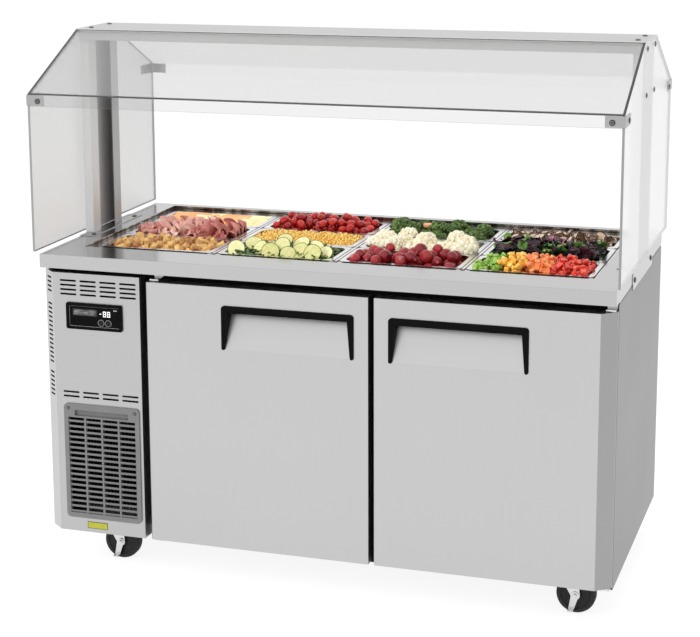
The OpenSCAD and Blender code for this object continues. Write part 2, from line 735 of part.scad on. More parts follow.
// Every guard screw: at its head's seat, pointing out along +Z.
module at_end_screws() {
    for (y = [-65, 65], z = [guard_top - 20, guard_top - 135])
        translate([end_x, y, z]) rotate([0, 90, 0]) children();
}
module at_bracket_screws() {
    translate([half_w - 18, -glass_y - sheet_t, knee_z - lip_h / 2 - 2]) rotate([90, 0, 0]) children();
    translate([end_x + sheet_t, -glass_y + bracket_l - 20, knee_z - lip_h / 2 - 2])
        rotate([0, 90, 0]) children();
}
module at_beam_screws() {
    for (y = [-58, 58]) translate([half_w - 14, y, guard_top]) children();
}
module at_foot_screws() {
    for (y = [foot_y[0] + 27, foot_y[1] - 27]) {
        translate([half_w - foot_w + 12, y, counter_h + sheet_t]) children();
        translate([half_w + sheet_t, y, counter_h - 30]) rotate([0, 90, 0]) children();
    }
}
module shank_hole(depth) {
    translate([0, 0, -depth]) cylinder(h = depth + 1, r = shank_r + face_gap, $fn = 24);
}
module screw(length) {
    translate([0, 0, -length]) cylinder(h = length, r = shank_r, $fn = 24);
    rotate_extrude($fn = 24) polygon([[0, 0], [screw_r, 0], [screw_r, 0.8], [screw_r - 1.2, 2], [0, 2]]);
}

module screws() color("lightgray") both_ends() {
    at_end_screws() screw(glass_t + 1.5);
    front_and_back() at_bracket_screws() screw(glass_t + 1.5);
    at_beam_screws() screw(sheet_t - 0.2);
    at_foot_screws() screw(sheet_t - 0.2);
}

// Foot plates: on the counter and folded down over its end.
module guard_feet() color("silver") both_ends() difference() {
    union() {
        block([half_w - foot_w, half_w + sheet_t], foot_y, [counter_h, counter_h + sheet_t]);
        block([half_w, half_w + sheet_t], foot_y, [counter_h + sheet_t - foot_fold, counter_h + 1]);
    }
    at_foot_screws() shank_hole(3);
}

// Posts: lipped channels, open towards the food.
module guard_posts() color("gray") both_ends() difference() {
    block([glass_x - post_w, glass_x], [-post_d / 2, post_d / 2], [counter_h + sheet_t, guard_top - sheet_t]);
    block([glass_x - post_w + sheet_t, glass_x - sheet_t], [-post_d / 2 + sheet_t, post_d / 2 - sheet_t],
        [counter_h, guard_top]);
    block([glass_x - post_w - 1, glass_x - post_w + sheet_t + 1],
        [-post_d / 2 + post_lip, post_d / 2 - post_lip],
        [counter_h, guard_top]);
    at_end_screws() shank_hole(glass_t + 4);
}

module guard_beam() color("silver") difference() {
    union() {
        block([-end_x - 1, end_x + 1], [-beam_d / 2, beam_d / 2], [guard_top - sheet_t, guard_top]);
        front_and_back() {
            block([-glass_x + face_gap, glass_x - face_gap], [-beam_d / 2, -beam_d / 2 + sheet_t],
                [guard_top - beam_h, guard_top - 1]);
            block([-glass_x + post_w + 4, glass_x - post_w - 4], [-beam_d / 2, -beam_d / 2 + 14],
                [guard_top - beam_h, guard_top - beam_h + sheet_t]);
        }
    }
    both_ends() at_beam_screws() shank_hole(3);
}

// Both sloping panes: each is bent down into a short lip at the knee and stops below the beam.
module sloped_glasses() color([0.8, 0.9, 0.9, 0.4]) front_and_back() difference() {
    endwise(-glass_x + face_gap, glass_x - face_gap)
        polygon([[-glass_y, knee_z - lip_h], [-glass_y, knee_z],
            [-beam_d / 2, guard_top - sheet_t], [-beam_d / 2, guard_top - sheet_t - slope_t],
            [-glass_y + glass_t, knee_z - 3], [-glass_y + glass_t, knee_z - lip_h]]);
    both_ends() at_bracket_screws() shank_hole(glass_t + 3);
}

module end_glasses() color([0.8, 0.9, 0.9, 0.4]) both_ends() difference() {
    endwise(glass_x, end_x)
        polygon([[-glass_y, glass_z], [-glass_y, knee_z], [-beam_d / 2, guard_top - sheet_t],
            [beam_d / 2, guard_top - sheet_t], [glass_y, knee_z], [glass_y, glass_z]]);
    at_end_screws() shank_hole(glass_t + 1);
    front_and_back() at_bracket_screws() shank_hole(glass_t + 3);
}

module corner_brackets() color("silver") both_ends() front_and_back() difference() {
    z = [knee_z - lip_h + 2, knee_z - 2];
    union() {
        block([end_x + sheet_t - bracket_w, end_x + sheet_t], [-glass_y - sheet_t, -glass_y], z);
        block([end_x, end_x + sheet_t], [-glass_y - sheet_t, -glass_y + bracket_l], z);
    }
    at_bracket_screws() shank_hole(3);
}

// ------------------------------------------------------------ casters

// Each caster is drawn round its swivel axis, standing on the floor.
module at_caster(side, row) { translate([side * caster_x, caster_y[row], 0]) children(); }

module caster_plates() color("silver") for (side = [-1, 1], row = [0, 1]) at_caster(side, row) {
    block([-45, 45], [-36, 36], [base_z - 4, base_z]);
    translate([0, 0, crown_z + 4 + face_gap]) cylinder(h = 16 - face_gap, r = 23);
    translate([0, 0, crown_z - 3]) cylinder(h = 8, r = 6);
}

module caster_fork() color("silver") {
    difference() {
        union() {
            translate([0, 0, crown_z]) cylinder(h = 4, r = 27);
            block([-18, trail + 6], [-leg_y - leg_t, leg_y + leg_t], [crown_z, crown_z + 4]);
        }
        translate([0, 0, crown_z - 1]) cylinder(h = 8, r = 6 + run_fit);
    }
    for (y = [-leg_y - leg_t, leg_y]) upright(y, y + leg_t) {
        polygon([[-18, crown_z + 1], [trail + 6, crown_z + 1], [trail + 12, wheel_r], [trail - 12, wheel_r]]);
        translate([trail, wheel_r]) circle(12);
    }
    // axle bolt: its shoulder carries the brake lever in front
    translate([trail, leg_y + leg_t + 6, wheel_r]) rotate([90, 0, 0])
        cylinder(h = 2 * (leg_y + leg_t) + 15, d = axle_d);
    translate([trail, leg_y + leg_t + 6, wheel_r]) rotate([90, 0, 0]) cylinder(h = 6, d = 16, $fn = 6);
}

module wheel() color([0.07, 0.07, 0.07]) translate([trail, 0, wheel_r]) rotate([90, 0, 0]) rotate_extrude() {
    h = wheel_w / 2;
    polygon([[axle_d / 2 + run_fit, -h - 1.5], [14, -h - 1.5], [16, -h + 3], [wheel_r - 14, -h + 3],
        [wheel_r - 11, -h], [wheel_r - 5, -h], [wheel_r - 1.5, -h + 3], [wheel_r, -h + 8],
        [wheel_r, h - 8], [wheel_r - 1.5, h - 3], [wheel_r - 5, h], [wheel_r - 11, h],
        [wheel_r - 14, h - 3], [16, h - 3], [14, h + 1.5], [axle_d / 2 + run_fit, h + 1.5]]);
}

// Stamped brake lever, hung on the axle bolt outside the front leg.
module brake() color("silver") {
    y = -leg_y - leg_t - face_gap;
    difference() {
        upright(y - 3, y) {
            translate([trail, wheel_r]) circle(10);
            polygon([[trail - 10, wheel_r], [trail + 9, wheel_r - 2], [trail - 2, 14], [trail - 16, 14]]);
        }
        translate([trail, y + 1, wheel_r]) rotate([90, 0, 0]) cylinder(h = 5, r = axle_d / 2 + run_fit);
    }
    block([trail - 16, trail - 2], [y - 16, y], [11, 14.5]);
}

// ------------------------------------------------------------ assembly

base_frame();
insulated_body();
front_frame();
side_panels();
rear_panel();
machine_panel();
intake_grille();
control_panel();
up_button();
down_button();
condenser();
fan_shroud();
condenser_fan();
compressor();
compressor_feet();
drain_tray();
evaporator();
shelf_supports();
shelves();
worktop();
well_liner();
divider_bars();
pan(0, 0);  // pan_1a
pan(0, 1);  // pan_1b
pan(0, 2);  // pan_1c
pan(1, 0);  // pan_2a
pan(1, 1);  // pan_2b
pan(1, 2);  // pan_2c
pan(2, 0);  // pan_3a
pan(2, 1);  // pan_3b
pan(2, 2);  // pan_3c
pan(3, 0);  // pan_4a
pan(3, 1);  // pan_4b
pan(3, 2);  // pan_4c
hinge_brackets();
door_left();
gasket_left();
handle_left();
door_right();
gasket_right();
handle_right();
caster_plates();
at_caster(-1, 0) caster_fork();  // fork_fl
at_caster(1, 0) caster_fork();  // fork_fr
at_caster(-1, 1) caster_fork();  // fork_rl
at_caster(1, 1) caster_fork();  // fork_rr
at_caster(-1, 0) wheel();  // wheel_fl
at_caster(1, 0) wheel();  // wheel_fr
at_caster(-1, 1) wheel();  // wheel_rl
at_caster(1, 1) wheel();  // wheel_rr
at_caster(-1, 0) brake();  // brake_fl
at_caster(1, 0) brake();  // brake_fr
guard_feet();
guard_posts();
guard_beam();
sloped_glasses();
end_glasses();
corner_brackets();
screws();
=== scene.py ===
# %% [markdown]
# # A mobile salad bar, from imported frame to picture
# The construction arrives finished from the CAD side: every sheet, pan, hinge and
# wheel at its real size. Blender's share is what the eye meets: the studio, the
# brushed steel, the glass, the small trim, and the food that shows what the bar is for.

import math
import random
from contextlib import contextmanager

import bmesh
import bpy
from mathutils import Euler, Matrix, Vector


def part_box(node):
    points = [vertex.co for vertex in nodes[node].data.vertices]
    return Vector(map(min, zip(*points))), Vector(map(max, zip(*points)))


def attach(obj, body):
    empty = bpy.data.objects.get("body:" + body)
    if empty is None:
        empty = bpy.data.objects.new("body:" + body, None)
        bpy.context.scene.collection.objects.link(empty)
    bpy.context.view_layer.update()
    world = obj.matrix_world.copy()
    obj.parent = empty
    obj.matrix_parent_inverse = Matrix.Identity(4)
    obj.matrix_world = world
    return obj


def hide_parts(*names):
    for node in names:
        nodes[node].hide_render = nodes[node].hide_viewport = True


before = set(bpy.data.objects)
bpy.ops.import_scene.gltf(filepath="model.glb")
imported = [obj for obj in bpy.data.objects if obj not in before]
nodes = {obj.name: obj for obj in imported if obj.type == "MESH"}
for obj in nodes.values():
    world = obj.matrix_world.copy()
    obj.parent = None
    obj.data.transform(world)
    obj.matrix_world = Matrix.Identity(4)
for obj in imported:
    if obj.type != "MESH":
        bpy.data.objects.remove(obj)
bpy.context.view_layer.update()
scene = bpy.context.scene

# %% [markdown]
# ## Camera
# The picture was taken from the right of the middle, a little above the guard, with
# a long lens. Its upright edges are closer to parallel than a tilted camera draws them,
# so part of the look down is a shift of the frame, as a view camera does it.

# %% Camera at the photographer's place
PHOTO_WIDTH = 700
LENS_PIXELS = 1814.6
SENSOR_MM = 36.0
CAMERA_PLACE = (1.394, -4.527, 1.840)
CAMERA_YAW = math.radians(18.376)
CAMERA_PITCH = math.radians(10.985)
CAMERA_ROLL = math.radians(-0.369)
CAMERA_SHIFT = (0.044, -0.141)

camera_data = bpy.data.cameras.new("camera")
camera_data.sensor_width = SENSOR_MM
camera_data.lens = LENS_PIXELS / PHOTO_WIDTH * SENSOR_MM
camera_data.shift_x, camera_data.shift_y = CAMERA_SHIFT
camera = bpy.data.objects.new("camera", camera_data)
scene.collection.objects.link(camera)
camera.matrix_world = (
    Matrix.Translation(CAMERA_PLACE)
    @ Matrix.Rotation(CAMERA_YAW, 4, "Z")
    @ Matrix.Rotation(math.pi / 2 - CAMERA_PITCH, 4, "X")
    @ Matrix.Rotation(CAMERA_ROLL, 4, "Z")
)
scene.camera = camera
scene.view_settings.view_transform = "Standard"
print("lens", round(camera_data.lens, 1), "mm")

# %% [markdown]
# ## Shader maths in Python
# A node tree is easier to read as a formula. Wire wraps one socket, so that plus,
# minus and the rest add Math nodes, Graph adds the other nodes, and Finish is the
# graph of one material. Only what changes over the surface is wired; the rest are plain numbers.

# %% A socket that arithmetic works on
def arithmetic(operation, swapped=False):
    def apply(self, *others):
        values = (self, *others)
        return self.maths(operation, *(values[::-1] if swapped else values))
    return apply


class Wire:
    """One output socket of a node tree; arithmetic on it adds Math nodes."""

    def __init__(self, graph, socket):
        self.graph = graph
        self.socket = socket

    def maths(self, operation, *values):
        return self.graph.node("ShaderNodeMath", {"operation": operation}, dict(enumerate(values)))

    __add__, __radd__ = arithmetic("ADD"), arithmetic("ADD", True)
    __sub__, __rsub__ = arithmetic("SUBTRACT"), arithmetic("SUBTRACT", True)
    __mul__, __rmul__ = arithmetic("MULTIPLY"), arithmetic("MULTIPLY", True)
    __gt__, __lt__ = arithmetic("GREATER_THAN"), arithmetic("LESS_THAN")
    __pow__, __abs__ = arithmetic("POWER"), arithmetic("ABSOLUTE")
    either, both = arithmetic("MAXIMUM"), arithmetic("MINIMUM")

    def ramp(self, low, high):
        """0 below low, 1 above high, and a straight line between."""
        settings = {"clamp": True}
        values = {0: self, 1: low, 2: high, 3: 0.0, 4: 1.0}
        return self.graph.node("ShaderNodeMapRange", settings, values)


# %% A node tree while it is being made
def grey(level):
    return (level, level, level, 1.0)


class Graph:
    def __init__(self, tree):
        self.tree = tree

    def node(self, kind, settings, values, out=0):
        made = self.tree.nodes.new(kind)
        for name, value in settings.items():
            setattr(made, name, value)
        for socket, value in values.items():
            if isinstance(value, Wire):
                self.tree.links.new(value.socket, made.inputs[socket])
            else:
                made.inputs[socket].default_value = value
        return Wire(self, made.outputs[out])

    def ray(self, kind):
        """1 where the light path is of this kind."""
        return self.node("ShaderNodeLightPath", {}, {}, "Is %s Ray" % kind)

    def blend(self, share, first, second):
        """A shader between two others."""
        return self.node("ShaderNodeMixShader", {}, {0: share, 1: first, 2: second})

    def show(self, shader, output="Material Output"):
        self.tree.links.new(shader.socket, self.tree.nodes[output].inputs["Surface"])


class Finish(Graph):
    """A Principled material whose nodes are added by one method."""

    def __init__(self, name, constants):
        self.material = bpy.data.materials.new(name)
        self.material.use_nodes = True
        super().__init__(self.material.node_tree)
        self.shader = self.tree.nodes["Principled BSDF"]
        self.body = Wire(self, self.shader.outputs[0])
        for socket, value in constants.items():
            self.shader.inputs[socket].default_value = value

    def wire(self, socket, value):
        self.tree.links.new(value.socket, self.shader.inputs[socket])

    def surface(self, colour, roughness, *relief):
        self.wire("Base Color", colour)
        self.wire("Roughness", roughness)
        self.relief(*relief)

    def colour(self):
        """What the base colour is wired to so far."""
        return Wire(self, self.shader.inputs["Base Color"].links[0].from_socket)

    def mix(self, share, first, second):
        return self.node("ShaderNodeMix", {"data_type": "RGBA"}, {0: share, 6: first, 7: second}, 2)

    def place(self):
        return self.node("ShaderNodeTexCoord", {}, {}, "Object")

    def axis(self, index):
        return self.node("ShaderNodeSeparateXYZ", {}, {0: self.place()}, index)

    def facing(self, index):
        normal = self.node("ShaderNodeNewGeometry", {}, {}, "True Normal")
        return self.node("ShaderNodeSeparateXYZ", {}, {0: normal}, index)

    def noise(self, scale, detail=2.0, stretch=(1.0, 1.0, 1.0)):
        spot = self.node("ShaderNodeMapping", {}, {"Vector": self.place(), "Scale": stretch})
        return self.node("ShaderNodeTexNoise", {}, {"Vector": spot, "Scale": scale, "Detail": detail})

    def relief(self, height, strength, distance, edge=0.0):
        values = {"Height": height, "Strength": strength, "Distance": distance}
        if edge:
            values["Normal"] = self.node("ShaderNodeBevel", {"samples": 4}, {"Radius": edge})
        self.wire("Normal", self.node("ShaderNodeBump", {}, values))


def dress(finish, *names):
    """Gives CAD nodes a finish, in the slots that they came with."""
    for name in names:
        for slot in nodes[name].material_slots:
            slot.material = finish.material
    print(finish.material.name, "on", len(names), "nodes")


# %% [markdown]
# ## Studio
# The picture is a catalogue one: white all round, with flat soft light. The world
# is white to the camera and to mirrors, and weaker as a lamp, so that the steel has
# white to reflect while the light stays at a level where colours render as written.

# %% White world
AMBIENT, MIRRORED = 0.62, 1.05

scene.world = bpy.data.worlds.new("studio")
scene.world.use_nodes = True
sky = Graph(scene.world.node_tree)


def white(strength):
    return sky.node("ShaderNodeBackground", {}, {"Color": grey(1.0), "Strength": strength})


lit = sky.blend(sky.ray("Glossy"), white(AMBIENT), white(MIRRORED))
sky.show(sky.blend(sky.ray("Camera").either(sky.ray("Transmission")), lit, white(1.0)), "World Output")
print("ambient", AMBIENT)

# %% Pale floor that keeps a soft shadow
FLOOR_SIZE = 60.0
FLOOR_GLOW, GLOW_STRENGTH = 0.74, 1.17

bpy.ops.mesh.primitive_plane_add(size=FLOOR_SIZE)
floor = bpy.context.object
floor.name = "floor"
floor_paint = Finish("pale_floor", {"Base Color": grey(0.88), "Roughness": 0.9, "Specular IOR Level": 0.1})
seen = floor_paint.ray("Camera").either(floor_paint.ray("Glossy")).either(floor_paint.ray("Transmission"))
glow = floor_paint.node("ShaderNodeEmission", {}, {"Color": grey(1.0), "Strength": GLOW_STRENGTH})
floor_paint.show(floor_paint.blend(seen * FLOOR_GLOW, floor_paint.body, glow))
floor.data.materials.append(floor_paint.material)

# %% Soft lamps, of which only the small one shows in mirrors
LAMPS = {
    "key": ((-3.2, -4.6, 3.6), 3.4, 210.0, False),
    "fill": ((3.4, -4.2, 2.6), 3.0, 45.0, False),
    "top": ((0.0, 0.4, 4.6), 3.6, 110.0, False),
    "sparkle": ((-2.6, -1.2, 3.6), 0.5, 14.0, True),
}
AIM = Vector((0.0, 0.0, 0.75))

for name, (place, size, power, mirrored) in LAMPS.items():
    lamp_data = bpy.data.lights.new(name, "AREA")
    lamp_data.shape = "SQUARE"
    lamp_data.size = size
    lamp_data.energy = power
    softbox = bpy.data.objects.new(name, lamp_data)
    scene.collection.objects.link(softbox)
    softbox.visible_glossy = mirrored
    softbox.location = place
    softbox.rotation_euler = (AIM - Vector(place)).to_track_quat("-Z", "Y").to_euler()
print("lamps", list(LAMPS))

# %% [markdown]
# ## Stainless steel
# Kitchen sheet is brushed with one straight grain, finer than a camera sees from
# here, over a satin sheen. Noise stretched along the grain varies the colour by a few
# hundredths and the gloss a little more, and a Bevel node rounds the folds by a
# millimetre, as a press brake leaves them.

# %% Brushed sheet
def steel(name, tone, grain, roughness=0.3, streak=0.04, fold=0.0012, turned=(), metallic=1.0):
    """grain is the axis, 0 to 2, of the brushing. turned lists (axis, share) pairs: faces turned
    that way, or against it where the axis is negative, are that much brighter or darker: painted
    light and shade."""
    finish = Finish(name, {"Metallic": metallic})
    stretch = [700.0, 700.0, 700.0]
    stretch[grain] = 9.0
    streaks = finish.noise(1.0, 4.0, stretch)
    cloud = finish.noise(3.0, 2.0)
    colour = finish.mix(streaks, grey(tone * (1 - streak)), grey(tone * (1 + streak)))
    for axis, share in turned:
        lean = finish.facing(abs(axis) - 1) * math.copysign(1, axis)
        colour = finish.mix((lean > 0.2) * 1.0, colour, grey(tone * share))
    finish.surface(colour, roughness - 0.06 + 0.08 * streaks + 0.06 * cloud, streaks, 0.05, 0.0002, fold)
    return finish


X_AXIS, Z_AXIS = 0, 2
RIGHT, LEFT, UP = 1, -1, 3
# the turned shares are painted light and shade: faces turned right, left or up are painted darker or brighter
dress(steel("door_steel", 0.53, Z_AXIS, 0.36, turned=((RIGHT, 0.66), (UP, 1.12))), "door_left", "door_right")
dress(steel("side_steel", 0.275, Z_AXIS, 0.36, turned=((RIGHT, 0.84),)), "side_panels", "rear_panel")
dress(steel("machine_panel_steel", 0.49, Z_AXIS, 0.36, turned=((LEFT, 1.1),)), "machine_panel")
dress(steel("guard_steel", 0.74, X_AXIS, 0.34, turned=((UP, 0.66),)), "guard_beam")

# a post is a channel that opens to the middle of the counter: its far inner faces stay in shade
post = steel("post_steel", 0.70, Z_AXIS, 0.42, metallic=0.45)
faces_middle = post.facing(0) * post.axis(0) < 0.0
shaded = (post.axis(1) > 0.0).both((post.facing(1) < -0.5).either(faces_middle))
post.wire("Base Color", post.mix(shaded, post.colour(), grey(0.44)))
dress(post, "guard_posts")
dress(steel("bracket_steel", 0.42, X_AXIS, 0.32), "corner_brackets")

# %% Counter, which mirrors what stands on it, and a painted reflection of brown food on its cut edge
WELL_X, WELL_FRONT, WELL_BACK = 0.69, -0.28, 0.37
# the counter's right and upward faces are painted darker, as shade
counter = steel("counter_steel", 0.47, X_AXIS, 0.15, 0.02, turned=((RIGHT, 0.78), (UP, 0.86)))
dress(counter, "worktop", "guard_feet")


def within_well(finish):
    x, y = finish.axis(0), finish.axis(1)
    return (abs(x) < WELL_X).both(y > WELL_FRONT).both(y < WELL_BACK)


def painted_food_reflection(finish, colour):
    """The upright sides of the well get a painted reflection of the food beside them, blurred."""
    upright = (abs(finish.facing(2)) < 0.3).both(within_well(finish))
    reflected_blotches = finish.noise(1.0, 2.0, (34.0, 34.0, 8.0)).ramp(0.42, 0.62)
    return finish.mix(upright, colour, finish.mix(reflected_blotches, (0.20, 0.165, 0.14, 1), (0.70, 0.66, 0.62, 1)))


# the counter's upright faces inside the well get the painted reflection of the food
counter.wire("Base Color", painted_food_reflection(counter, counter.colour()))

# %% Pans and ledge: bright rims, with the walls, the left and back ledges and a dark line round each pan painted as shade
pan_names = ["pan_%d%s" % (column, row) for column in (1, 2, 3, 4) for row in "abc"]
first_low, first_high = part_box("pan_1a")
next_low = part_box("pan_2a")[0]
above_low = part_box("pan_1b")[0]
COLUMN_PITCH = next_low.x - first_low.x
ROW_PITCH = above_low.y - first_low.y
COLUMN_GAP = COLUMN_PITCH - (first_high.x - first_low.x)
ROW_GAP = ROW_PITCH - (first_high.y - first_low.y)
GAP_SHADE_WIDTH, LEDGE_BLEND, RIM_DEPTH = 0.0017, 0.002, 0.004
RIM_TONE, WALL_SHADE_TONE, LEDGE_SHADE_TONE, GAP_SHADE_TONE = 0.72, 0.46, 0.42, 0.04


def from_line(finish, axis, start, pitch):
    """Distance to the nearest of many lines that stand a pitch apart."""
    place = finish.axis(axis) - start
    return place.maths("PINGPONG", place, pitch / 2)


def pan_finish(name, paints_food_reflection):
    finish = Finish(name, {"Metallic": 1.0})
    satin = finish.noise(1.0, 3.0, (9.0, 500.0, 500.0))
    beside = finish.axis(0).ramp(first_low.x, first_low.x - LEDGE_BLEND)
    left_ledge = beside.both(finish.axis(1) > first_low.y)
    back_ledge = finish.axis(1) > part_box("pan_1c")[1].y
    # the left and back ledges are painted darker, as shade
    tone = finish.mix(left_ledge.either(back_ledge), grey(RIM_TONE), grey(LEDGE_SHADE_TONE))
    across = from_line(finish, 0, first_low.x - COLUMN_GAP / 2, COLUMN_PITCH)
    along = from_line(finish, 1, first_low.y - ROW_GAP / 2, ROW_PITCH)
    # a near-black line is painted along the gap round each pan, as shade
    gap_shade = (abs(across - COLUMN_GAP / 2) < GAP_SHADE_WIDTH).either(along < GAP_SHADE_WIDTH)
    # the walls below the rim are painted darker, as shade
    top = finish.axis(2) > first_high.z - RIM_DEPTH
    colour = finish.mix(top, grey(WALL_SHADE_TONE), finish.mix(gap_shade, tone, grey(GAP_SHADE_TONE)))
    colour = painted_food_reflection(finish, colour) if paints_food_reflection else colour
    finish.surface(colour, 0.16 + 0.10 * satin, satin, 0.05, 0.0002, 0.0006)
    return finish


dress(pan_finish("liner_steel", True), "well_liner", "divider_bars")
dress(pan_finish("pan_steel", False), *pan_names)

# %% [markdown]
# ## Plated, painted and moulded parts
# The small steel is bright plated, the base is galvanised, and the plastics differ
# only in how coarse their moulded grain is and how much they shine.

# %% Bright plated steel
def plated(name, tone, roughness):
    finish = Finish(name, {"Metallic": 1.0})
    handling = finish.noise(60.0, 3.0)
    colour = finish.mix(handling, grey(tone * 0.88), grey(tone))
    finish.surface(colour, roughness + 0.12 * handling, handling, 0.05, 0.0003, 0.0005)
    return finish


plate = plated("bright_plate", 0.72, 0.14)
dress(plate, "screws", "shelves", "shelf_supports", "hinge_brackets", "caster_plates",
      "fork_fl", "fork_fr", "fork_rl", "fork_rr", "brake_fl", "brake_fr")
dress(plated("galvanised", 0.42, 0.38), "base_frame", "fan_shroud")
dress(plated("coil_aluminium", 0.60, 0.28), "evaporator")
# the condenser behind the grille is painted near black, as the shade it stands in
dress(plated("coil_painted_shade", 0.05, 0.45), "condenser")

# %% Moulded plastic and rubber
MOULDED_EDGE = 0.0008


def moulded(name, colour, roughness, grain_size, depth, sheen=0.5):
    """grain_size is the width of one grain of the mould's texture, in metres."""
    finish = Finish(name, {"Specular IOR Level": sheen})
    grain = finish.noise(1.0 / grain_size, 2.0)
    patches = finish.noise(14.0, 3.0)
    dark = tuple(0.82 * c for c in colour) + (1.0,)
    light = tuple(min(1.0, 1.12 * c) for c in colour) + (1.0,)
    colour = finish.mix(patches, dark, light)
    finish.surface(colour, roughness + 0.10 * patches - 0.05, grain, 0.35, depth, MOULDED_EDGE)
    return finish


# name, colour, roughness, grain size, depth and sheen, then the nodes
PLASTICS = (
    ("handle_black", (0.005, 0.005, 0.005), 0.6, 0.0009, 0.0001, 0.03, "handle_left handle_right"),
    ("grille_grey", (0.165, 0.165, 0.168), 0.46, 0.0011, 0.00012, 0.5, "intake_grille"),
    ("bezel_black", (0.004, 0.004, 0.0045), 0.5, 0.0015, 0.00003, 0.04, "control_panel"),
    ("button_black", (0.008, 0.008, 0.009), 0.4, 0.0008, 0.00008, 0.2, "up_button down_button"),
    ("breaker_black", (0.003, 0.003, 0.003), 0.7, 0.0012, 0.0001, 0.1, "front_frame"),
    ("liner_white", (0.80, 0.80, 0.79), 0.35, 0.002, 0.00006, 0.5, "insulated_body"),
    ("gasket_rubber", (0.05, 0.05, 0.052), 0.62, 0.0008, 0.0001, 0.5,
     "gasket_left gasket_right compressor_feet"),
    ("fan_black", (0.02, 0.02, 0.021), 0.5, 0.001, 0.00008, 0.5, "condenser_fan drain_tray"),
    ("compressor_enamel", (0.012, 0.012, 0.013), 0.2, 0.004, 0.0001, 0.5, "compressor"),
)
plastics = {}
for name, colour, roughness, grain_size, depth, sheen, wearers in PLASTICS:
    plastics[name] = moulded(name, colour, roughness, grain_size, depth, sheen)
    dress(plastics[name], *wearers.split())

# %% [markdown]
# ## Wheels
# A caster wheel of this kind is a polypropylene core with a black rubber tread. One
# finish does both, from the distance to the axle: the tread is dull and scuffed, and
# the core within it has a moulded gloss.

# %% Tyre and core in one finish
wheel_low, wheel_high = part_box("wheel_fl")
WHEEL_RADIUS = (wheel_high.z - wheel_low.z) / 2
TREAD, TREAD_BLEND = 0.014, 0.002


def wheel_finish(name):
    low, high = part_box("wheel_" + name)
    middle = (low + high) / 2
    finish = Finish("caster_wheel_" + name, {"Specular IOR Level": 0.25})
    along = finish.axis(0) - middle.x
    up = finish.axis(2) - middle.z
    reach = (along * along + up * up) ** 0.5
    tread = reach.ramp(WHEEL_RADIUS - TREAD, WHEEL_RADIUS - TREAD + TREAD_BLEND)
    scuffs = finish.noise(120.0, 4.0)
    colour = finish.mix(scuffs * tread, grey(0.012), (0.05, 0.049, 0.047, 1))
    finish.surface(colour, 0.32 + 0.38 * tread, scuffs, 0.3, 0.0003, 0.001)
    return finish


for corner in ("fl", "fr", "rl", "rr"):
    dress(wheel_finish(corner), "wheel_" + corner)
print("wheel radius", round(WHEEL_RADIUS, 3))

# %% [markdown]
# ## Glass
# Between the eye and a white room, a pane shows as a pale veil that grows as it is
# seen more edge on, and as dark lines where light is trapped: along the sloping cut
# edges, and where the front pane bends down into its lip. The other edges have a
# frosted arris and stay pale. A Transparent shader bends nothing behind the pane.

# %% Clear panes with dark cut edges
VEIL_TONE, VEIL_BLUR = 0.7, 0.5
VEIL_LEAST, VEIL_GAIN = 0.03, 0.8
END_TINT, FRONT_TINT, BACK_TINT = 0.96, 0.95, 0.998
BACK_VEIL = 0.3
RIGHT_VEIL_TONE = 1.0
DARK_EDGE, PALE_EDGE = (0.02, 0.022, 0.022, 1.0), (0.25, 0.26, 0.255, 1.0)

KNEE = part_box("corner_brackets")[1].z + 0.002
GLASS_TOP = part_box("sloped_glasses")[1].z
LINE = 0.0014


def pane(name, parts):
    """parts takes the finish and gives a face's tint, its share of veil, the veil's tone, where it is
    an edge, and where a dark one."""
    finish = Finish(name, {"Roughness": 0.12})
    tint, veil, veil_tone, edge, dark = parts(finish)
    finish.wire("Base Color", finish.mix(dark, PALE_EDGE, DARK_EDGE))
    clear = finish.node("ShaderNodeBsdfTransparent", {}, {"Color": tint})
    gloss = finish.node("ShaderNodeBsdfGlossy", {}, {"Color": veil_tone, "Roughness": VEIL_BLUR})
    lean = finish.node("ShaderNodeLayerWeight", {}, {"Blend": 0.5}, "Facing")
    share = (VEIL_LEAST + VEIL_GAIN * lean * lean) * veil
    finish.show(finish.blend(edge.either(dark), finish.blend(share, clear, gloss), finish.body))
    return finish


def end_pane(finish):
    """Dark lines along the top and the slopes, except the far slope of the left pane."""
    low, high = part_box("end_glasses")
    run, rise = high.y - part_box("guard_beam")[1].y, high.z - KNEE
    right, front = finish.axis(0) > 0.0, finish.axis(1) < 0.0
    depth, height = abs(finish.axis(1)), finish.axis(2)
    past_slope = ((depth - high.y) * rise + (height - KNEE) * run) * (1 / math.hypot(rise, run))
    dark = (past_slope > -LINE).both(right.either(front)).either(height > high.z - LINE)
    faint = (depth > high.y - LINE / 2).either(height < low.z + LINE).either(past_slope > -LINE / 2)
    return grey(END_TINT), 1.0, finish.mix(right, grey(VEIL_TONE), grey(RIGHT_VEIL_TONE)), faint, dark


def sloped_panes(finish):
    front = finish.axis(1) < 0.0
    cut = (abs(finish.facing(0)) > 0.5).either(finish.facing(2) < -0.97)
    bend = abs(finish.axis(2) - KNEE) < LINE
    top = finish.axis(2) > GLASS_TOP - LINE
    tint = finish.mix(front, grey(BACK_TINT), grey(FRONT_TINT))
    return tint, BACK_VEIL + (1 - BACK_VEIL) * front, grey(VEIL_TONE), cut, front.both(bend.either(top))


dress(pane("end_pane_glass", end_pane), "end_glasses")
dress(pane("sloped_pane_glass", sloped_panes), "sloped_glasses")

# %% [markdown]
# ## Modelling by hand
# A small piece starts as a primitive and is shaped with the operators that Edit
# Mode's menus call. Faces are picked by their place or direction. A finished piece
# has its place in its mesh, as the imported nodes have, so patterns stay put on it.

# %% Primitives, edit mode and modifiers
def begin(shape, **options):
    """Adds a primitive as the only selected object."""
    bpy.ops.object.select_all(action="DESELECT")
    getattr(bpy.ops.mesh, "primitive_%s_add" % shape)(**options)
    return bpy.context.object


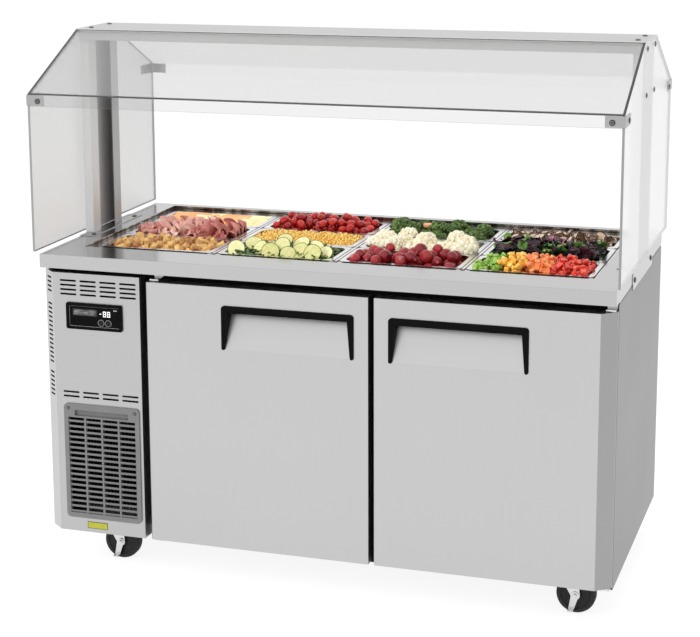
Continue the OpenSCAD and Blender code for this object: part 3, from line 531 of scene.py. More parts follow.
def activate(piece):
    bpy.ops.object.select_all(action="DESELECT")
    piece.select_set(True)
    bpy.context.view_layer.objects.active = piece


@contextmanager
def editing(piece, kind="FACE"):
    """Edit mode on one piece, with nothing picked yet."""
    activate(piece)
    bpy.ops.object.mode_set(mode="EDIT")
    bpy.ops.mesh.select_mode(type=kind)
    bpy.ops.mesh.select_all(action="DESELECT")
    yield
    bpy.ops.object.mode_set(mode="OBJECT")


def pick_all():
    bpy.ops.mesh.select_all(action="SELECT")


def pick(test, points=False):
    """Selects the faces, or the points, that pass a test."""
    mesh = bmesh.from_edit_mesh(bpy.context.object.data)
    for element in (mesh.verts if points else mesh.faces):
        element.select_set(test(element))
    mesh.select_flush_mode()
    bmesh.update_edit_mesh(bpy.context.object.data)


def modify(piece, kind, **settings):
    """Adds one modifier and applies it."""
    activate(piece)
    modifier = piece.modifiers.new("shape", kind)
    for name, value in settings.items():
        setattr(modifier, name, value)
    bpy.ops.object.modifier_apply(modifier=modifier.name)


def curl(piece, axis, degrees):
    modify(piece, "SIMPLE_DEFORM", deform_method="BEND", deform_axis=axis, angle=math.radians(degrees))


def coat(piece, angle, *finishes):
    """Smooth shading up to an angle, and a material slot for each finish."""
    activate(piece)
    bpy.ops.object.shade_smooth_by_angle(angle=math.radians(angle))
    for finish in finishes:
        piece.data.materials.append(finish.material)
    return piece


def settle(piece):
    """Moves the piece's place, turn and scale into its mesh."""
    activate(piece)
    bpy.ops.object.transform_apply(location=True, rotation=True, scale=True)
    return piece


def sized(shape, scale, **options):
    """A cube or grid with its scale in its mesh."""
    piece = begin(shape, size=1, **options)
    piece.scale = scale
    return settle(piece)


def join(piece, *others):
    activate(piece)
    for other in others:
        other.select_set(True)
    bpy.ops.object.join()
    return piece


# %% Many copies as one piece
def pour(name, models, places, dice):
    """One piece made of copies: each has its own mesh, place and shade from 0 to 1."""
    copies = []
    for index, place in enumerate(places):
        model = models[index % len(models)]
        copy = model.copy()
        copy.data = model.data.copy()
        copy.data.transform(place)
        shade = copy.data.attributes.new("shade", "FLOAT", "POINT")
        shade.data.foreach_set("value", [dice.random()] * len(copy.data.vertices))
        scene.collection.objects.link(copy)
        copies.append(copy)
    piece = join(*copies)
    piece.name = name
    print(name, len(places), "copies,", len(piece.data.polygons), "faces")
    return piece


def discard(*models):
    for model in models:
        bpy.data.objects.remove(model, do_unlink=True)


# %% [markdown]
# ## Small trim
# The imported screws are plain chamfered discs. A screw with a dark washer and a cross
# recess, cut with a Boolean, stands at the place of each. The louvres get their lips,
# and the control panel its smoked lens, lit figures and printed lines.

# %% Cross-recessed screws in place of the plain ones
def shells(name):
    """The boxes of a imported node's separate shells, in a fixed order."""
    copy = nodes[name].copy()
    copy.data = copy.data.copy()
    scene.collection.objects.link(copy)
    with editing(copy):
        pick_all()
        bpy.ops.mesh.remove_doubles(threshold=0.00001)
        bpy.ops.mesh.separate(type="LOOSE")
    parts = list(bpy.context.selected_objects)
    boxes = []
    for part in parts:
        corners = [point.co for point in part.data.vertices]
        boxes.append([tuple(pick_end(c[i] for c in corners) for i in range(3)) for pick_end in (min, max)])
    discard(*parts)
    return sorted(boxes)


def block(low, high):
    """A place that turns a cube of size 1 into the box between two corners."""
    low, high = Vector(low), Vector(high)
    return Matrix.Translation((low + high) / 2) @ Matrix.Diagonal((high - low)).to_4x4()


HEAD_RADIUS, HEAD_HEIGHT, WASHER_RADIUS, WASHER_HEIGHT = 0.0054, 0.0021, 0.0072, 0.0008
SHANK_RADIUS, LONG_SHANK, SHORT_SHANK, LONG_FROM = 0.0022, 0.0075, 0.0018, 0.006
SEAT_BELOW_TOP = 0.0019


def cross_screw(shank):
    """A screw whose washer rests at height 0, pointing up."""
    head = begin("cylinder", vertices=24, radius=HEAD_RADIUS, depth=HEAD_HEIGHT,
                 location=(0, 0, WASHER_HEIGHT + HEAD_HEIGHT / 2))
    settle(head)
    with editing(head):
        pick(lambda face: face.normal.z > 0.9)
        bpy.ops.mesh.bevel(offset=HEAD_HEIGHT * 0.7, segments=4, affect="EDGES")
    arms = []
    for turn in (0.0, math.pi / 2):
        arm = begin("cube", size=1, rotation=(0, 0, turn))
        arm.scale = (HEAD_RADIUS * 1.2, HEAD_RADIUS * 0.3, HEAD_HEIGHT)
        arm.location.z = WASHER_HEIGHT + HEAD_HEIGHT
        arms.append(settle(arm))
    for arm in arms:
        modify(head, "BOOLEAN", operation="DIFFERENCE", solver="EXACT", object=arm)
    discard(*arms)
    recess_low, recess_high = WASHER_HEIGHT * 1.2, WASHER_HEIGHT + HEAD_HEIGHT * 0.7
    # the recess's faces are painted near black, as shade
    give_skin(head, screw_steel, recess_shade_and_washer_black, lambda face: recess_low < face.center.z < recess_high
              and math.hypot(face.center.x, face.center.y) < HEAD_RADIUS * 0.7)
    washer = begin("cylinder", vertices=24, radius=WASHER_RADIUS, depth=WASHER_HEIGHT,
                   location=(0, 0, WASHER_HEIGHT / 2))
    shaft = begin("cylinder", vertices=12, radius=SHANK_RADIUS, depth=shank, location=(0, 0, -shank / 2))
    washer.data.materials.append(recess_shade_and_washer_black.material)
    shaft.data.materials.append(screw_steel.material)
    for part in (washer, shaft):
        settle(part)
    return coat(join(head, washer, shaft), 35)


def give_skin(piece, flesh, skin, is_skin):
    """Two finishes on one mesh: the second where the test holds."""
    for finish in (flesh, skin):
        piece.data.materials.append(finish.material)
    for face in piece.data.polygons:
        face.material_index = 1 if is_skin(face) else 0
    return piece


# near black: painted shade in each cross recess, and the colour of the dark washer
recess_shade_and_washer_black = moulded("recess_shade_and_washer_black", (0.008, 0.008, 0.008), 0.5, 0.001, 0.00002, sheen=0.1)
screw_steel = plated("screw_steel", 0.24, 0.24)
trim_dice = random.Random(5)
places = {True: [], False: []}
for low, high in shells("screws"):
    sizes = [b - a for a, b in zip(low, high)]
    axis = next(i for i in range(3) if abs(sizes[i] - sorted(sizes)[1]) > 0.0005)
    outward = Vector((0, 0, 0))
    middle = (Vector(low) + Vector(high)) / 2
    outward[axis] = 1.0 if axis == Z_AXIS or middle[axis] > 0 else -1.0
    seat = middle + outward * (sizes[axis] / 2 - SEAT_BELOW_TOP)
    upright = outward.to_track_quat("Z", "Y").to_matrix().to_4x4()
    turn = Matrix.Rotation(trim_dice.uniform(0, 1.5), 4, "Z")
    places[sizes[axis] > LONG_FROM].append(Matrix.Translation(seat) @ upright @ turn)
long_screw, short_screw = cross_screw(LONG_SHANK), cross_screw(SHORT_SHANK)
glass_screws = pour("glass_screws", [long_screw], places[True], trim_dice)
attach(glass_screws, "cabinet")
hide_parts("screws")
grille_low, grille_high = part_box("intake_grille")
screw_inset = Vector((0.0125, 0, -0.0125))
for x in (grille_low.x + screw_inset.x, grille_high.x - screw_inset.x):
    facing_out = Matrix.Rotation(math.pi / 2, 4, "X") @ Matrix.Scale(0.62, 4)
    places[False].append(Matrix.Translation((x, grille_low.y, grille_high.z + screw_inset.z)) @ facing_out)
sheet_screws = pour("sheet_screws", [short_screw], places[False], trim_dice)
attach(sheet_screws, "cabinet")
discard(long_screw, short_screw)

# %% A sloping lip under the front edge of every louvre
LOUVRES, FIRST_LOUVRE, LOUVRE_THICK = 18, 0.35, 0.0022
WINDOW_SIDE, WINDOW_FOOT, WINDOW_LESS = 0.012, 0.013, 0.050
LIP_DROP, LIP_THICK, LIP_INSET = 0.0066, 0.0011, 0.0019
LIP_LEAN = math.radians(16)
pitch = (grille_high.z - grille_low.z - WINDOW_LESS) / LOUVRES
lip = sized("cube", (grille_high.x - grille_low.x - 2 * WINDOW_SIDE, LIP_THICK, LIP_DROP))
with editing(lip, "EDGE"):
    pick_all()
    bpy.ops.mesh.bevel(offset=LIP_THICK * 0.4, segments=2)
coat(lip, 40, plastics["grille_grey"])
places = []
for row in range(LOUVRES):
    top = grille_low.z + WINDOW_FOOT + (row + FIRST_LOUVRE) * pitch + LOUVRE_THICK
    middle = Vector(((grille_low.x + grille_high.x) / 2, grille_low.y + LIP_INSET, top - LIP_DROP / 2))
    places.append(Matrix.Translation(middle) @ Matrix.Rotation(LIP_LEAN, 4, "X"))
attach(pour("louvre_lips", [lip], places, trim_dice), "cabinet")
discard(lip)

# %% Control panel's lens, figures and printed lines
panel_low, panel_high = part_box("control_panel")
RECESS_DEPTH = 0.003
RECESS_SIDE, RECESS_END = 0.009, 0.008
recess_y = panel_low.y + RECESS_DEPTH
recess = [panel_low.x + RECESS_SIDE, panel_low.z + RECESS_END,
          panel_high.x - RECESS_SIDE, panel_high.z - RECESS_END]


def flat_bars(name, boxes, finish, lift, thickness=0.0003):
    """Thin bars, each from left, bottom, right and top, that stand proud of the recess by lift."""
    model = begin("cube", size=1)
    model.data.materials.append(finish.material)
    back = recess_y - lift
    places = [block((x0, back - thickness, z0), (x1, back, z1)) for x0, z0, x1, z1 in boxes]
    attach(pour(name, [model], places, trim_dice), "cabinet")
    discard(model)


def outline(left, bottom, right, top, line):
    return [(left, bottom, right, bottom + line), (left, top - line, right, top),
            (left, bottom, left + line, top), (right - line, bottom, right, top)]


def figure(left, bottom, width, height, line, lit):
    """The lit bars of one seven-segment figure, lit naming them a to g."""
    middle, top, right = bottom + height / 2, bottom + height, left + width
    gap = line * 0.4
    bars = {"a": (left, top - line, right, top), "d": (left, bottom, right, bottom + line),
            "g": (left + line, middle - line / 2, right - line, middle + line / 2),
            "f": (left, middle + gap, left + line, top - line - gap),
            "b": (right - line, middle + gap, right, top - line - gap),
            "e": (left, bottom + line + gap, left + line, middle - gap),
            "c": (right - line, bottom + line + gap, right, middle - gap)}
    return [bars[letter] for letter in lit]


def lens_finish():
    """Smoked lens with a painted reflection of a pale blurred window on its left."""
    finish = Finish("smoked_lens", {"Roughness": 0.4, "Specular IOR Level": 0.04})
    x, z = finish.axis(0), finish.axis(2)
    left, right, bottom, top = ([edge + inset for inset in WINDOW_BLEND[side]] for side, edge in
                                enumerate((LENS_LEFT, LENS_LEFT, LENS_BOTTOM, LENS_TOP)))
    across = x.ramp(*left).both(x.ramp(*right))
    along = z.ramp(*bottom).both(z.ramp(*top))
    bands = finish.noise(1.0, 2.0, (60.0, 1.0, 320.0)).ramp(0.35, 0.65)
    finish.wire("Base Color", finish.mix(across.both(along) * (0.35 + 0.65 * bands), grey(0.004), grey(0.22)))
    return finish


LENS_LEFT, LENS_RIGHT = recess[0] + 0.003, recess[2] - 0.003
LENS_BOTTOM, LENS_TOP = recess[1] + 0.021, recess[3] - 0.002
LENS_THICK = 0.0008
# where the painted reflection of the window fades in: left, right, bottom and top, from the lens's own edges
WINDOW_BLEND = ((0.006, 0.012), (0.078, 0.060), (0.007, 0.012), (-0.005, -0.010))
print_grey = moulded("print_grey", (0.42, 0.42, 0.43), 0.5, 0.001, 0.00001)
glow = Finish("figure_glow", {"Base Color": grey(0.9), "Emission Color": grey(0.9), "Emission Strength": 0.5})
flat_bars("display_lens", [(LENS_LEFT, LENS_BOTTOM, LENS_RIGHT, LENS_TOP)], lens_finish(), 0, LENS_THICK)
FIGURE_WIDTH, FIGURE_HEIGHT, FIGURE_LINE, FIGURE_STEP = 0.0085, 0.0145, 0.0018, 0.0115
FIGURE_LEFT, FIGURE_BOTTOM = panel_low.x + 0.093, LENS_BOTTOM + 0.008
figures = []
for index, lit in enumerate(("g", "abcdefg", "abcdefg")):
    figures += figure(FIGURE_LEFT + FIGURE_STEP * index, FIGURE_BOTTOM,
                      FIGURE_WIDTH, FIGURE_HEIGHT, FIGURE_LINE, lit)
flat_bars("display_figures", figures, glow, LENS_THICK)
lines = outline(*recess, 0.0009)
lines.append((LENS_RIGHT - 0.012, LENS_TOP - 0.006, LENS_RIGHT - 0.002, LENS_TOP - 0.0035))
flat_bars("display_lines", lines, print_grey, LENS_THICK, 0.0002)
for name in ("up_button", "down_button"):
    low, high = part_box(name)
    ring = begin("torus", major_radius=(high.x - low.x) / 2 + 0.0014, minor_radius=0.0006,
                 major_segments=32, minor_segments=8, rotation=(math.pi / 2, 0, 0),
                 location=((low.x + high.x) / 2, recess_y, (low.z + high.z) / 2))
    ring.name = name + "_ring"
    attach(coat(settle(ring), 80, print_grey), "cabinet")

# %% Blank tag at the foot of the machine panel
TAG_LEFT, TAG_BOTTOM, TAG_WIDTH, TAG_HEIGHT, TAG_THICK = -0.636, 0.1225, 0.058, 0.019, 0.0006
TAG_BORDER = 0.0016
panel_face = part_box("machine_panel")[0].y
tag = begin("cube", size=1)
tag.name = "blank_tag"
tag.data.transform(block((TAG_LEFT, panel_face - TAG_THICK, TAG_BOTTOM),
                         (TAG_LEFT + TAG_WIDTH, panel_face, TAG_BOTTOM + TAG_HEIGHT)))
with editing(tag, "EDGE"):
    pick_all()
    bpy.ops.mesh.bevel(offset=TAG_THICK / 3, segments=2)
tag_finish = Finish("tag_green", {"Roughness": 0.4, "Specular IOR Level": 0.3})
from_side = from_line(tag_finish, 0, TAG_LEFT, TAG_WIDTH)
from_end = from_line(tag_finish, 2, TAG_BOTTOM, TAG_HEIGHT)
border = (from_side.both(from_end) < TAG_BORDER) * 1.0
faded = tag_finish.mix(tag_finish.noise(120.0), (0.30, 0.31, 0.02, 1), (0.50, 0.50, 0.05, 1))
tag_finish.wire("Base Color", tag_finish.mix(border, faded, (0.07, 0.08, 0.015, 1)))
tag.data.materials.append(tag_finish.material)
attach(tag, "cabinet")

# %% [markdown]
# ## Food
# An empty salad bar says little about what its wells, pans and sneeze guard are for,
# and the photograph shows it filled. The food is loose, so it rides with the pan it
# lies in. Each pan gets a bed that fills it to just under the rim, with a crown, and
# pieces on top. Round pieces are dropped: each takes the lowest of a few random
# hollows, as a rolling piece would, so the heap closes up without any simulation.

# %% A pan to fill
def paint(red, green, blue):
    """A colour as a screen shows it, 0 to 255, turned into a shader's linear light."""
    return tuple((c / 255) ** 2.2 for c in (red, green, blue)) + (1.0,)


PAN_WALL = 0.0145
BED_DEPTH = 0.05


class Serving:
    """One pan's opening, its crowned bed, and the places where loose pieces come to rest."""

    def __init__(self, pan, crown, drop, seed, food, dark, light):
        low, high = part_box(pan)
        self.pan = pan
        self.dice = random.Random(seed)
        self.middle = Vector(((low.x + high.x) / 2, (low.y + high.y) / 2, high.z - drop))
        self.half_x = (high.x - low.x) / 2 - PAN_WALL
        self.half_y = (high.y - low.y) / 2 - PAN_WALL
        self.resting = []
        self.bed = self.make_bed(crown)
        # the bed's colours are darker than the food's own: painted shade between the pieces
        self.bed.data.materials.append(edible(food + "_shade", dark, light).material)
        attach(self.bed, self.pan)

    def make_bed(self, crown):
        bed = begin("grid", x_subdivisions=24, y_subdivisions=14, size=2)
        bed.name = "bed_" + self.pan
        bed.scale = (self.half_x, self.half_y, 1)
        bed.location = self.middle
        settle(bed)
        with editing(bed, "VERT"):
            for inset, lift in ((0.10, 0.55), (0.45, 0.30), (0.80, 0.15)):
                pick(lambda point: max(abs(point.co.x - self.middle.x) / self.half_x,
                                       abs(point.co.y - self.middle.y) / self.half_y) < 1 - inset, True)
                bpy.ops.transform.translate(value=(0, 0, crown * lift))
            pick_all()
            bpy.ops.mesh.vertices_smooth(factor=0.5, repeat=6, xaxis=False, yaxis=False)
        modify(bed, "SOLIDIFY", thickness=BED_DEPTH, offset=-1)
        return coat(bed, 60)

    def height(self, x, y):
        """Top of the bed under a point."""
        hit, place, _, _ = self.bed.ray_cast(Vector((x, y, 2)), Vector((0, 0, -1)))
        return place.z if hit else self.middle.z

    def spot(self, across, depth, lift):
        """A point above the bed, at shares of the half width and half depth."""
        x, y = self.middle.x + self.half_x * across, self.middle.y + self.half_y * depth
        return Vector((x, y, self.height(x, y) + lift))

    def drop(self, count, reach, tries=8, nest=0.8, left=-1.0, right=1.0, sunk=0.4):
        """Centres of count round pieces of radius reach, dropped between two shares of the width."""
        places = []
        for _ in range(count):
            found = []
            for _ in range(tries):
                x = self.middle.x + self.dice.uniform(left, right) * (self.half_x - reach)
                y = self.middle.y + self.dice.uniform(-1, 1) * (self.half_y - reach)
                bed = self.height(x, y)
                z = bed + reach * sunk
                for other, other_reach in self.resting:
                    level = (x - other.x) ** 2 + (y - other.y) ** 2
                    gap = (reach + other_reach) ** 2 - level
                    if gap > 0:
                        z = max(z, other.z + nest * math.sqrt(gap))
                found.append((z - bed, x, y, z))
            _, x, y, z = min(found)
            places.append(Vector((x, y, z)))
            self.resting.append((places[-1], reach))
        return places

    def serve(self, name, models, places):
        """Copies of the models, in turn, as one piece that rides the pan."""
        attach(pour(name, models, places, self.dice), self.pan)
        discard(*models)

    def heap(self, name, models, spots, lean=math.pi, size=0.12):
        self.serve(name, models, [tumbled(self.dice, spot, lean, size) for spot in spots])


def turned(spot, *angles):
    return Matrix.Translation(spot) @ Euler(angles).to_matrix().to_4x4()


def tumbled(dice, spot, lean=math.pi, size=0.12):
    """A place with a random turn, a lean of up to so much, and a size that varies by a share."""
    draw = dice.uniform
    place = turned(spot, draw(-lean, lean), draw(-lean, lean), draw(-math.pi, math.pi))
    return place @ Matrix.Scale(1 + draw(-size, size), 4)


# %% A finish for food
def edible(name, dark, light, roughness=0.5, mottle=70.0, bumps=0.0006, coat=0.0):
    """Each copy has its own shade, and a mottle a few millimetres across lies over that."""
    finish = Finish(name, {"Coat Weight": coat, "Coat Roughness": 0.08, "Specular IOR Level": 0.4})
    shade = finish.node("ShaderNodeAttribute", {"attribute_name": "shade"}, {}, "Fac")
    blotches = finish.noise(mottle, 3.0)
    share = (0.55 * shade + 1.1 * blotches - 0.35).ramp(0.0, 1.0)
    colour = finish.mix(share, paint(*dark), paint(*light))
    finish.surface(colour, roughness + 0.2 * blotches - 0.1, finish.noise(mottle * 5, 2.0), 0.5, bumps)
    return finish


# %% Golden chunks, front left
def chunk(size, seed):
    piece = sized("cube", size)
    with editing(piece):
        pick_all()
        bpy.ops.mesh.subdivide(number_cuts=2, smoothness=0.5)
        bpy.ops.transform.vertex_random(offset=0.0016, uniform=0.8, seed=seed)
    return coat(piece, 50, golden)


golden = edible("golden_crust", (134, 64, 18), (252, 210, 134), 0.42, 90.0, 0.0009)
serving = Serving("pan_1a", 0.012, 0.031, 11, "golden", (60, 30, 12), (110, 60, 24))
chunks = [chunk((0.019, 0.015, 0.011), 1), chunk((0.024, 0.013, 0.010), 2), chunk((0.013, 0.013, 0.012), 3)]
serving.heap("golden_chunks", chunks, serving.drop(250, 0.0078), size=0.25)


# %% [markdown]
# Sliced ham keeps the folds it fell into. A slice is a thin sheet bent over once with
# a Simple Deform, wavy along its open edge, and given its thickness at the end.

# %% Folded ham, middle left
def ham_fold(width, turn, seed, finish):
    piece = sized("grid", (width, 0.050, 1), x_subdivisions=12, y_subdivisions=8)
    with editing(piece, "VERT"):
        for end, pull in ((0.45, 0.72), (0.37, 0.88)):
            pick(lambda point: abs(point.co.x) > width * end, True)
            bpy.ops.transform.resize(value=(1, pull, 1))
        pick_all()
        bpy.ops.transform.vertex_random(offset=0.0030, uniform=0.3, seed=seed)
        bpy.ops.mesh.vertices_smooth(factor=0.5, repeat=2)
    curl(piece, "Y", turn)
    modify(piece, "SOLIDIFY", thickness=0.0020, offset=0, material_offset_rim=1)
    modify(piece, "SUBSURF", levels=1, render_levels=1)
    return coat(piece, 80, finish, ham_rind)


ham_pale = edible("ham_pale", (214, 136, 126), (252, 214, 200), 0.38, 46.0, 0.0004, 0.2)
ham_dark = edible("ham_dark", (148, 54, 54), (240, 166, 152), 0.38, 46.0, 0.0004, 0.3)
ham_rind = edible("ham_rind", (120, 34, 36), (190, 92, 82), 0.45, 80.0)
serving = Serving("pan_1b", 0.012, 0.018, 12, "ham", (84, 32, 32), (130, 60, 56))
ROWS, ACROSS = 4, 9
FOLDS = ((0.076, 200, 1), (0.088, 170, 2), (0.066, 250, 3))
draw = serving.dice.uniform
for name, finish, is_ours in (("ham_pale_folds", ham_pale, lambda share: share < 0.3),
                              ("ham_dark_curls", ham_dark, lambda share: share > 0.3)):
    folds = [ham_fold(*fold, finish) for fold in FOLDS]
    places = []
    for row in range(ROWS):
        for step in range(ACROSS):
            share = 2 * (step + 0.5 + 0.3 * (row % 2)) / ACROSS - 1
            if is_ours(share):
                depth = (2 * (row + 0.5) / ROWS - 1) * 0.72
                spot = serving.spot(share * 0.84, depth, 0.012 + draw(-0.003, 0.004))
                places.append(turned(spot, draw(-0.5, 0.3), draw(-0.7, 0.7), draw(-0.6, 0.6)))
    serving.serve(name, folds, places)


# %% Sliced cheese in shingled columns, back left
def cheese_slice(finish):
    piece = sized("cube", (0.072, 0.060, 0.0026))
    with editing(piece):
        pick_all()
        bpy.ops.mesh.bevel(offset=0.0007, segments=2, affect="EDGES")
    return coat(piece, 50, finish)


cheddar = edible("cheddar", (244, 146, 62), (255, 200, 130), 0.34, 24.0, 0.0002)
swiss = edible("pale_cheese", (232, 220, 140), (250, 244, 206), 0.36, 24.0, 0.0002)
serving = Serving("pan_1c", 0.004, 0.020, 13, "cheese", (170, 110, 50), (200, 150, 90))
SLICE_LEAN, SLICE_STEP = math.radians(13), 0.019
draw = serving.dice.uniform
for name, finish, columns in (("cheddar_left", cheddar, (-0.74, -0.46)), ("pale_middle", swiss, (-0.22,)),
                              ("cheddar_right", cheddar, (0.05, 0.33)), ("pale_right", swiss, (0.60, 0.76))):
    places = []
    for column in columns:
        y = serving.middle.y + serving.half_y * 0.56
        while y > serving.middle.y - serving.half_y * 0.58:
            x = serving.middle.x + serving.half_x * column + draw(-0.003, 0.003)
            z = serving.height(x, y) + 0.011 + draw(-0.001, 0.001)
            places.append(turned((x, y, z), SLICE_LEAN, draw(-0.05, 0.05), draw(-0.08, 0.08)))
            y -= SLICE_STEP
    serving.serve("cheese_" + name, [cheese_slice(finish)], places)


# %% [markdown]
# Cut vegetables have a skin and a flesh of different colours. The two are material
# slots of one small mesh: the faces round the rim take the second slot.

# %% Cucumber rounds and slivers, second front pan
cucumber_flesh = edible("cucumber_flesh", (198, 196, 112), (246, 242, 192), 0.32, 150.0, 0.0004, 0.3)
cucumber_skin = edible("cucumber_skin", (16, 40, 20), (92, 128, 56), 0.35, 90.0, 0.0004, 0.2)


def cucumber_round(radius):
    piece = begin("cylinder", vertices=28, radius=radius, depth=0.007)
    with editing(piece):
        pick(lambda face: abs(face.normal.z) > 0.9)
        bpy.ops.mesh.inset(thickness=0.0014)
        bpy.ops.mesh.inset(thickness=radius * 0.4, depth=-0.0004)
    return give_skin(coat(piece, 35), cucumber_flesh, cucumber_skin,
                     lambda face: math.hypot(face.center.x, face.center.y) > radius - 0.0016)


def cucumber_sliver(length):
    piece = sized("cube", (length, 0.0050, 0.0036))
    with editing(piece, "EDGE"):
        pick_all()
        bpy.ops.mesh.subdivide(number_cuts=3)
    curl(piece, "Z", 60)
    return give_skin(piece, cucumber_flesh, cucumber_skin,
                     lambda face: face.center.z > 0 or face.normal.y > 0.3)


serving = Serving("pan_2a", 0.018, 0.013, 21, "cucumber", (16, 28, 14), (60, 84, 38))
slivers = [cucumber_sliver(0.038), cucumber_sliver(0.028)]
serving.heap("cucumber_slivers", slivers, serving.drop(190, 0.0065, nest=0.6), 0.5, 0.2)
# each round: share of the width, share of the depth, height over the bed, lean and turn in degrees
ROUNDS = (
    (-0.80, -0.66, 13, 64, 8), (-0.36, -0.56, 13, 52, -24), (-0.14, -0.78, 11, 62, 12),
    (0.04, -0.50, 20, 58, -8), (0.20, -0.84, 9, 68, 18), (0.40, -0.66, 14, 48, -14),
    (0.64, -0.74, 14, 58, 6), (0.02, -0.10, 24, 40, 10), (0.34, -0.16, 20, 36, -20),
    (0.60, -0.20, 16, 42, 14), (0.82, -0.40, 10, 50, -10), (-0.58, -0.02, 14, 34, 24),
)
rounds = [cucumber_round(radius) for radius in (0.0235, 0.0215, 0.0245)]
places = [turned(serving.spot(across, depth, lift / 1000), math.radians(lean), 0, math.radians(turn))
          for across, depth, lift, lean, turn in ROUNDS]
serving.serve("cucumber_rounds", rounds, places)


# %% Corn, second middle pan
def kernel():
    piece = sized("cube", (0.0092, 0.0080, 0.0058))
    with editing(piece):
        pick(lambda face: face.normal.x < -0.9)
        bpy.ops.transform.resize(value=(1, 0.45, 0.6))
    modify(piece, "SUBSURF", levels=1, render_levels=1)
    return coat(piece, 80, corn)


corn = edible("corn_yellow", (246, 188, 62), (255, 244, 160), 0.32, 130.0, 0.0002, 0.2)
serving = Serving("pan_2b", 0.014, 0.014, 22, "corn", (214, 140, 34), (250, 196, 74))
serving.heap("corn_kernels", [kernel()], serving.drop(900, 0.0042, 5, 0.7))


# %% Grape tomatoes, second back pan
def tomato():
    piece = begin("uv_sphere", segments=14, ring_count=9, radius=0.0115)
    with editing(piece, "VERT"):
        pick(lambda point: point.co.z > 0.0112, True)
        bpy.ops.transform.translate(value=(0, 0, -0.0016))
        pick_all()
        bpy.ops.transform.resize(value=(1, 1, 1.28))
    return coat(piece, 80, tomato_red)


tomato_red = edible("tomato_red", (120, 10, 16), (214, 50, 42), 0.25, 30.0, 0.0001, 0.4)
serving = Serving("pan_2c", 0.018, 0.030, 23, "tomato", (50, 6, 8), (84, 12, 12))
serving.heap("grape_tomatoes", [tomato()], serving.drop(95, 0.0125, 14, 0.85), size=0.08)


# %% Radishes, third front pan
def radish():
    piece = begin("uv_sphere", segments=16, ring_count=11, radius=0.0155)
    with editing(piece, "VERT"):
        pick(lambda point: point.co.z < -0.0152, True)
        bpy.ops.transform.translate(value=(0, 0, -0.005))
        pick(lambda point: point.co.z > 0.0140, True)
        bpy.ops.transform.translate(value=(0, 0, -0.0022))
    return give_skin(coat(piece, 80), radish_red, radish_white, lambda face: face.center.z < -0.0156)


radish_red = edible("radish_red", (96, 16, 26), (182, 54, 58), 0.3, 34.0, 0.0002, 0.3)
radish_white = edible("radish_white", (150, 60, 64), (214, 140, 136), 0.5, 90.0)
serving = Serving("pan_3a", 0.016, 0.034, 31, "radish", (30, 6, 10), (56, 10, 16))
serving.heap("radishes", [radish()], serving.drop(52, 0.0152, 14, 0.85), size=0.16)


# %% [markdown]
# A cauliflower or broccoli head is small knobs set all over a dome on a thick stem.
# The knobs stand at the points of a golden-angle spiral, which spreads any number of
# points evenly over a dome.

# %% Florets
GOLDEN_ANGLE = math.pi * (3 - math.sqrt(5))


def floret(head, dome, knob, count, knob_finish, stem_finish, dice, detail):
    """dome is the head's radius, knob the size of one bud, and detail the bud's subdivisions."""
    bud = begin("ico_sphere", subdivisions=detail, radius=knob)
    with editing(bud):
        pick_all()
        bpy.ops.transform.vertex_random(offset=knob * 0.16, uniform=0.4, seed=5)
    coat(bud, 80, knob_finish)
    places = []
    for index in range(count):
        down = 1.0 - 1.25 * (index + 0.5) / count
        ring = math.sqrt(max(0.0, 1 - down * down))
        turn = GOLDEN_ANGLE * index
        spot = Vector((ring * math.cos(turn), ring * math.sin(turn), 0.86 * down)) * dome
        places.append(tumbled(dice, spot * dice.uniform(0.9, 1.04), size=0.25))
    crown = pour(head, [bud], places, dice)
    stem = begin("cone", vertices=10, radius1=dome * 0.28, radius2=dome * 0.82, depth=dome * 1.1,
                 location=(0, 0, -dome * 0.42))
    coat(settle(stem), 60, stem_finish)
    discard(bud)
    return join(crown, stem)


# %% Cauliflower, third middle pan
cauliflower = edible("cauliflower_curd", (232, 220, 178), (255, 252, 238), 0.62, 160.0, 0.0009)
cauliflower_stem = edible("cauliflower_stem", (196, 200, 150), (226, 226, 186), 0.5)
serving = Serving("pan_3b", 0.010, 0.032, 32, "cauliflower", (150, 130, 80), (190, 176, 126))
heads = [floret("curd", *head, cauliflower, cauliflower_stem, serving.dice, 2)
         for head in ((0.028, 0.0085, 34), (0.023, 0.0070, 34))]
serving.heap("cauliflower_florets", heads, serving.drop(19, 0.0225, 30, 0.8, sunk=0.2), 0.5)

# %% Broccoli with two carrot sticks, third back pan
broccoli = edible("broccoli_buds", (16, 34, 18), (124, 152, 88), 0.7, 200.0, 0.0014)
broccoli_stem = edible("broccoli_stem", (96, 124, 62), (156, 176, 108), 0.5)
serving = Serving("pan_3c", 0.014, 0.024, 33, "broccoli", (10, 20, 10), (30, 46, 24))
heads = [floret("buds", *head, broccoli, broccoli_stem, serving.dice, 1)
         for head in ((0.024, 0.0046, 88), (0.020, 0.0042, 72))]
serving.heap("broccoli_florets", heads, serving.drop(22, 0.0195, 16, 0.8, sunk=0.2), 0.8, 0.15)


def carrot_stick():
    piece = begin("cone", vertices=12, radius1=0.0075, radius2=0.0055, depth=0.040)
    with editing(piece):
        pick(lambda face: abs(face.normal.z) > 0.9)
        bpy.ops.mesh.inset(thickness=0.0015, depth=0.0008)
    return coat(piece, 50, carrot)


carrot = edible("carrot_orange", (220, 120, 76), (248, 184, 150), 0.4, 80.0)
sticks = (((-0.16, -0.40, 0.036), 1.45), ((-0.52, -0.60, 0.026), 1.25))
places = [turned(serving.spot(*spot), 0, lean, -0.2) for spot, lean in sticks]
serving.serve("carrot_sticks", [carrot_stick()], places)


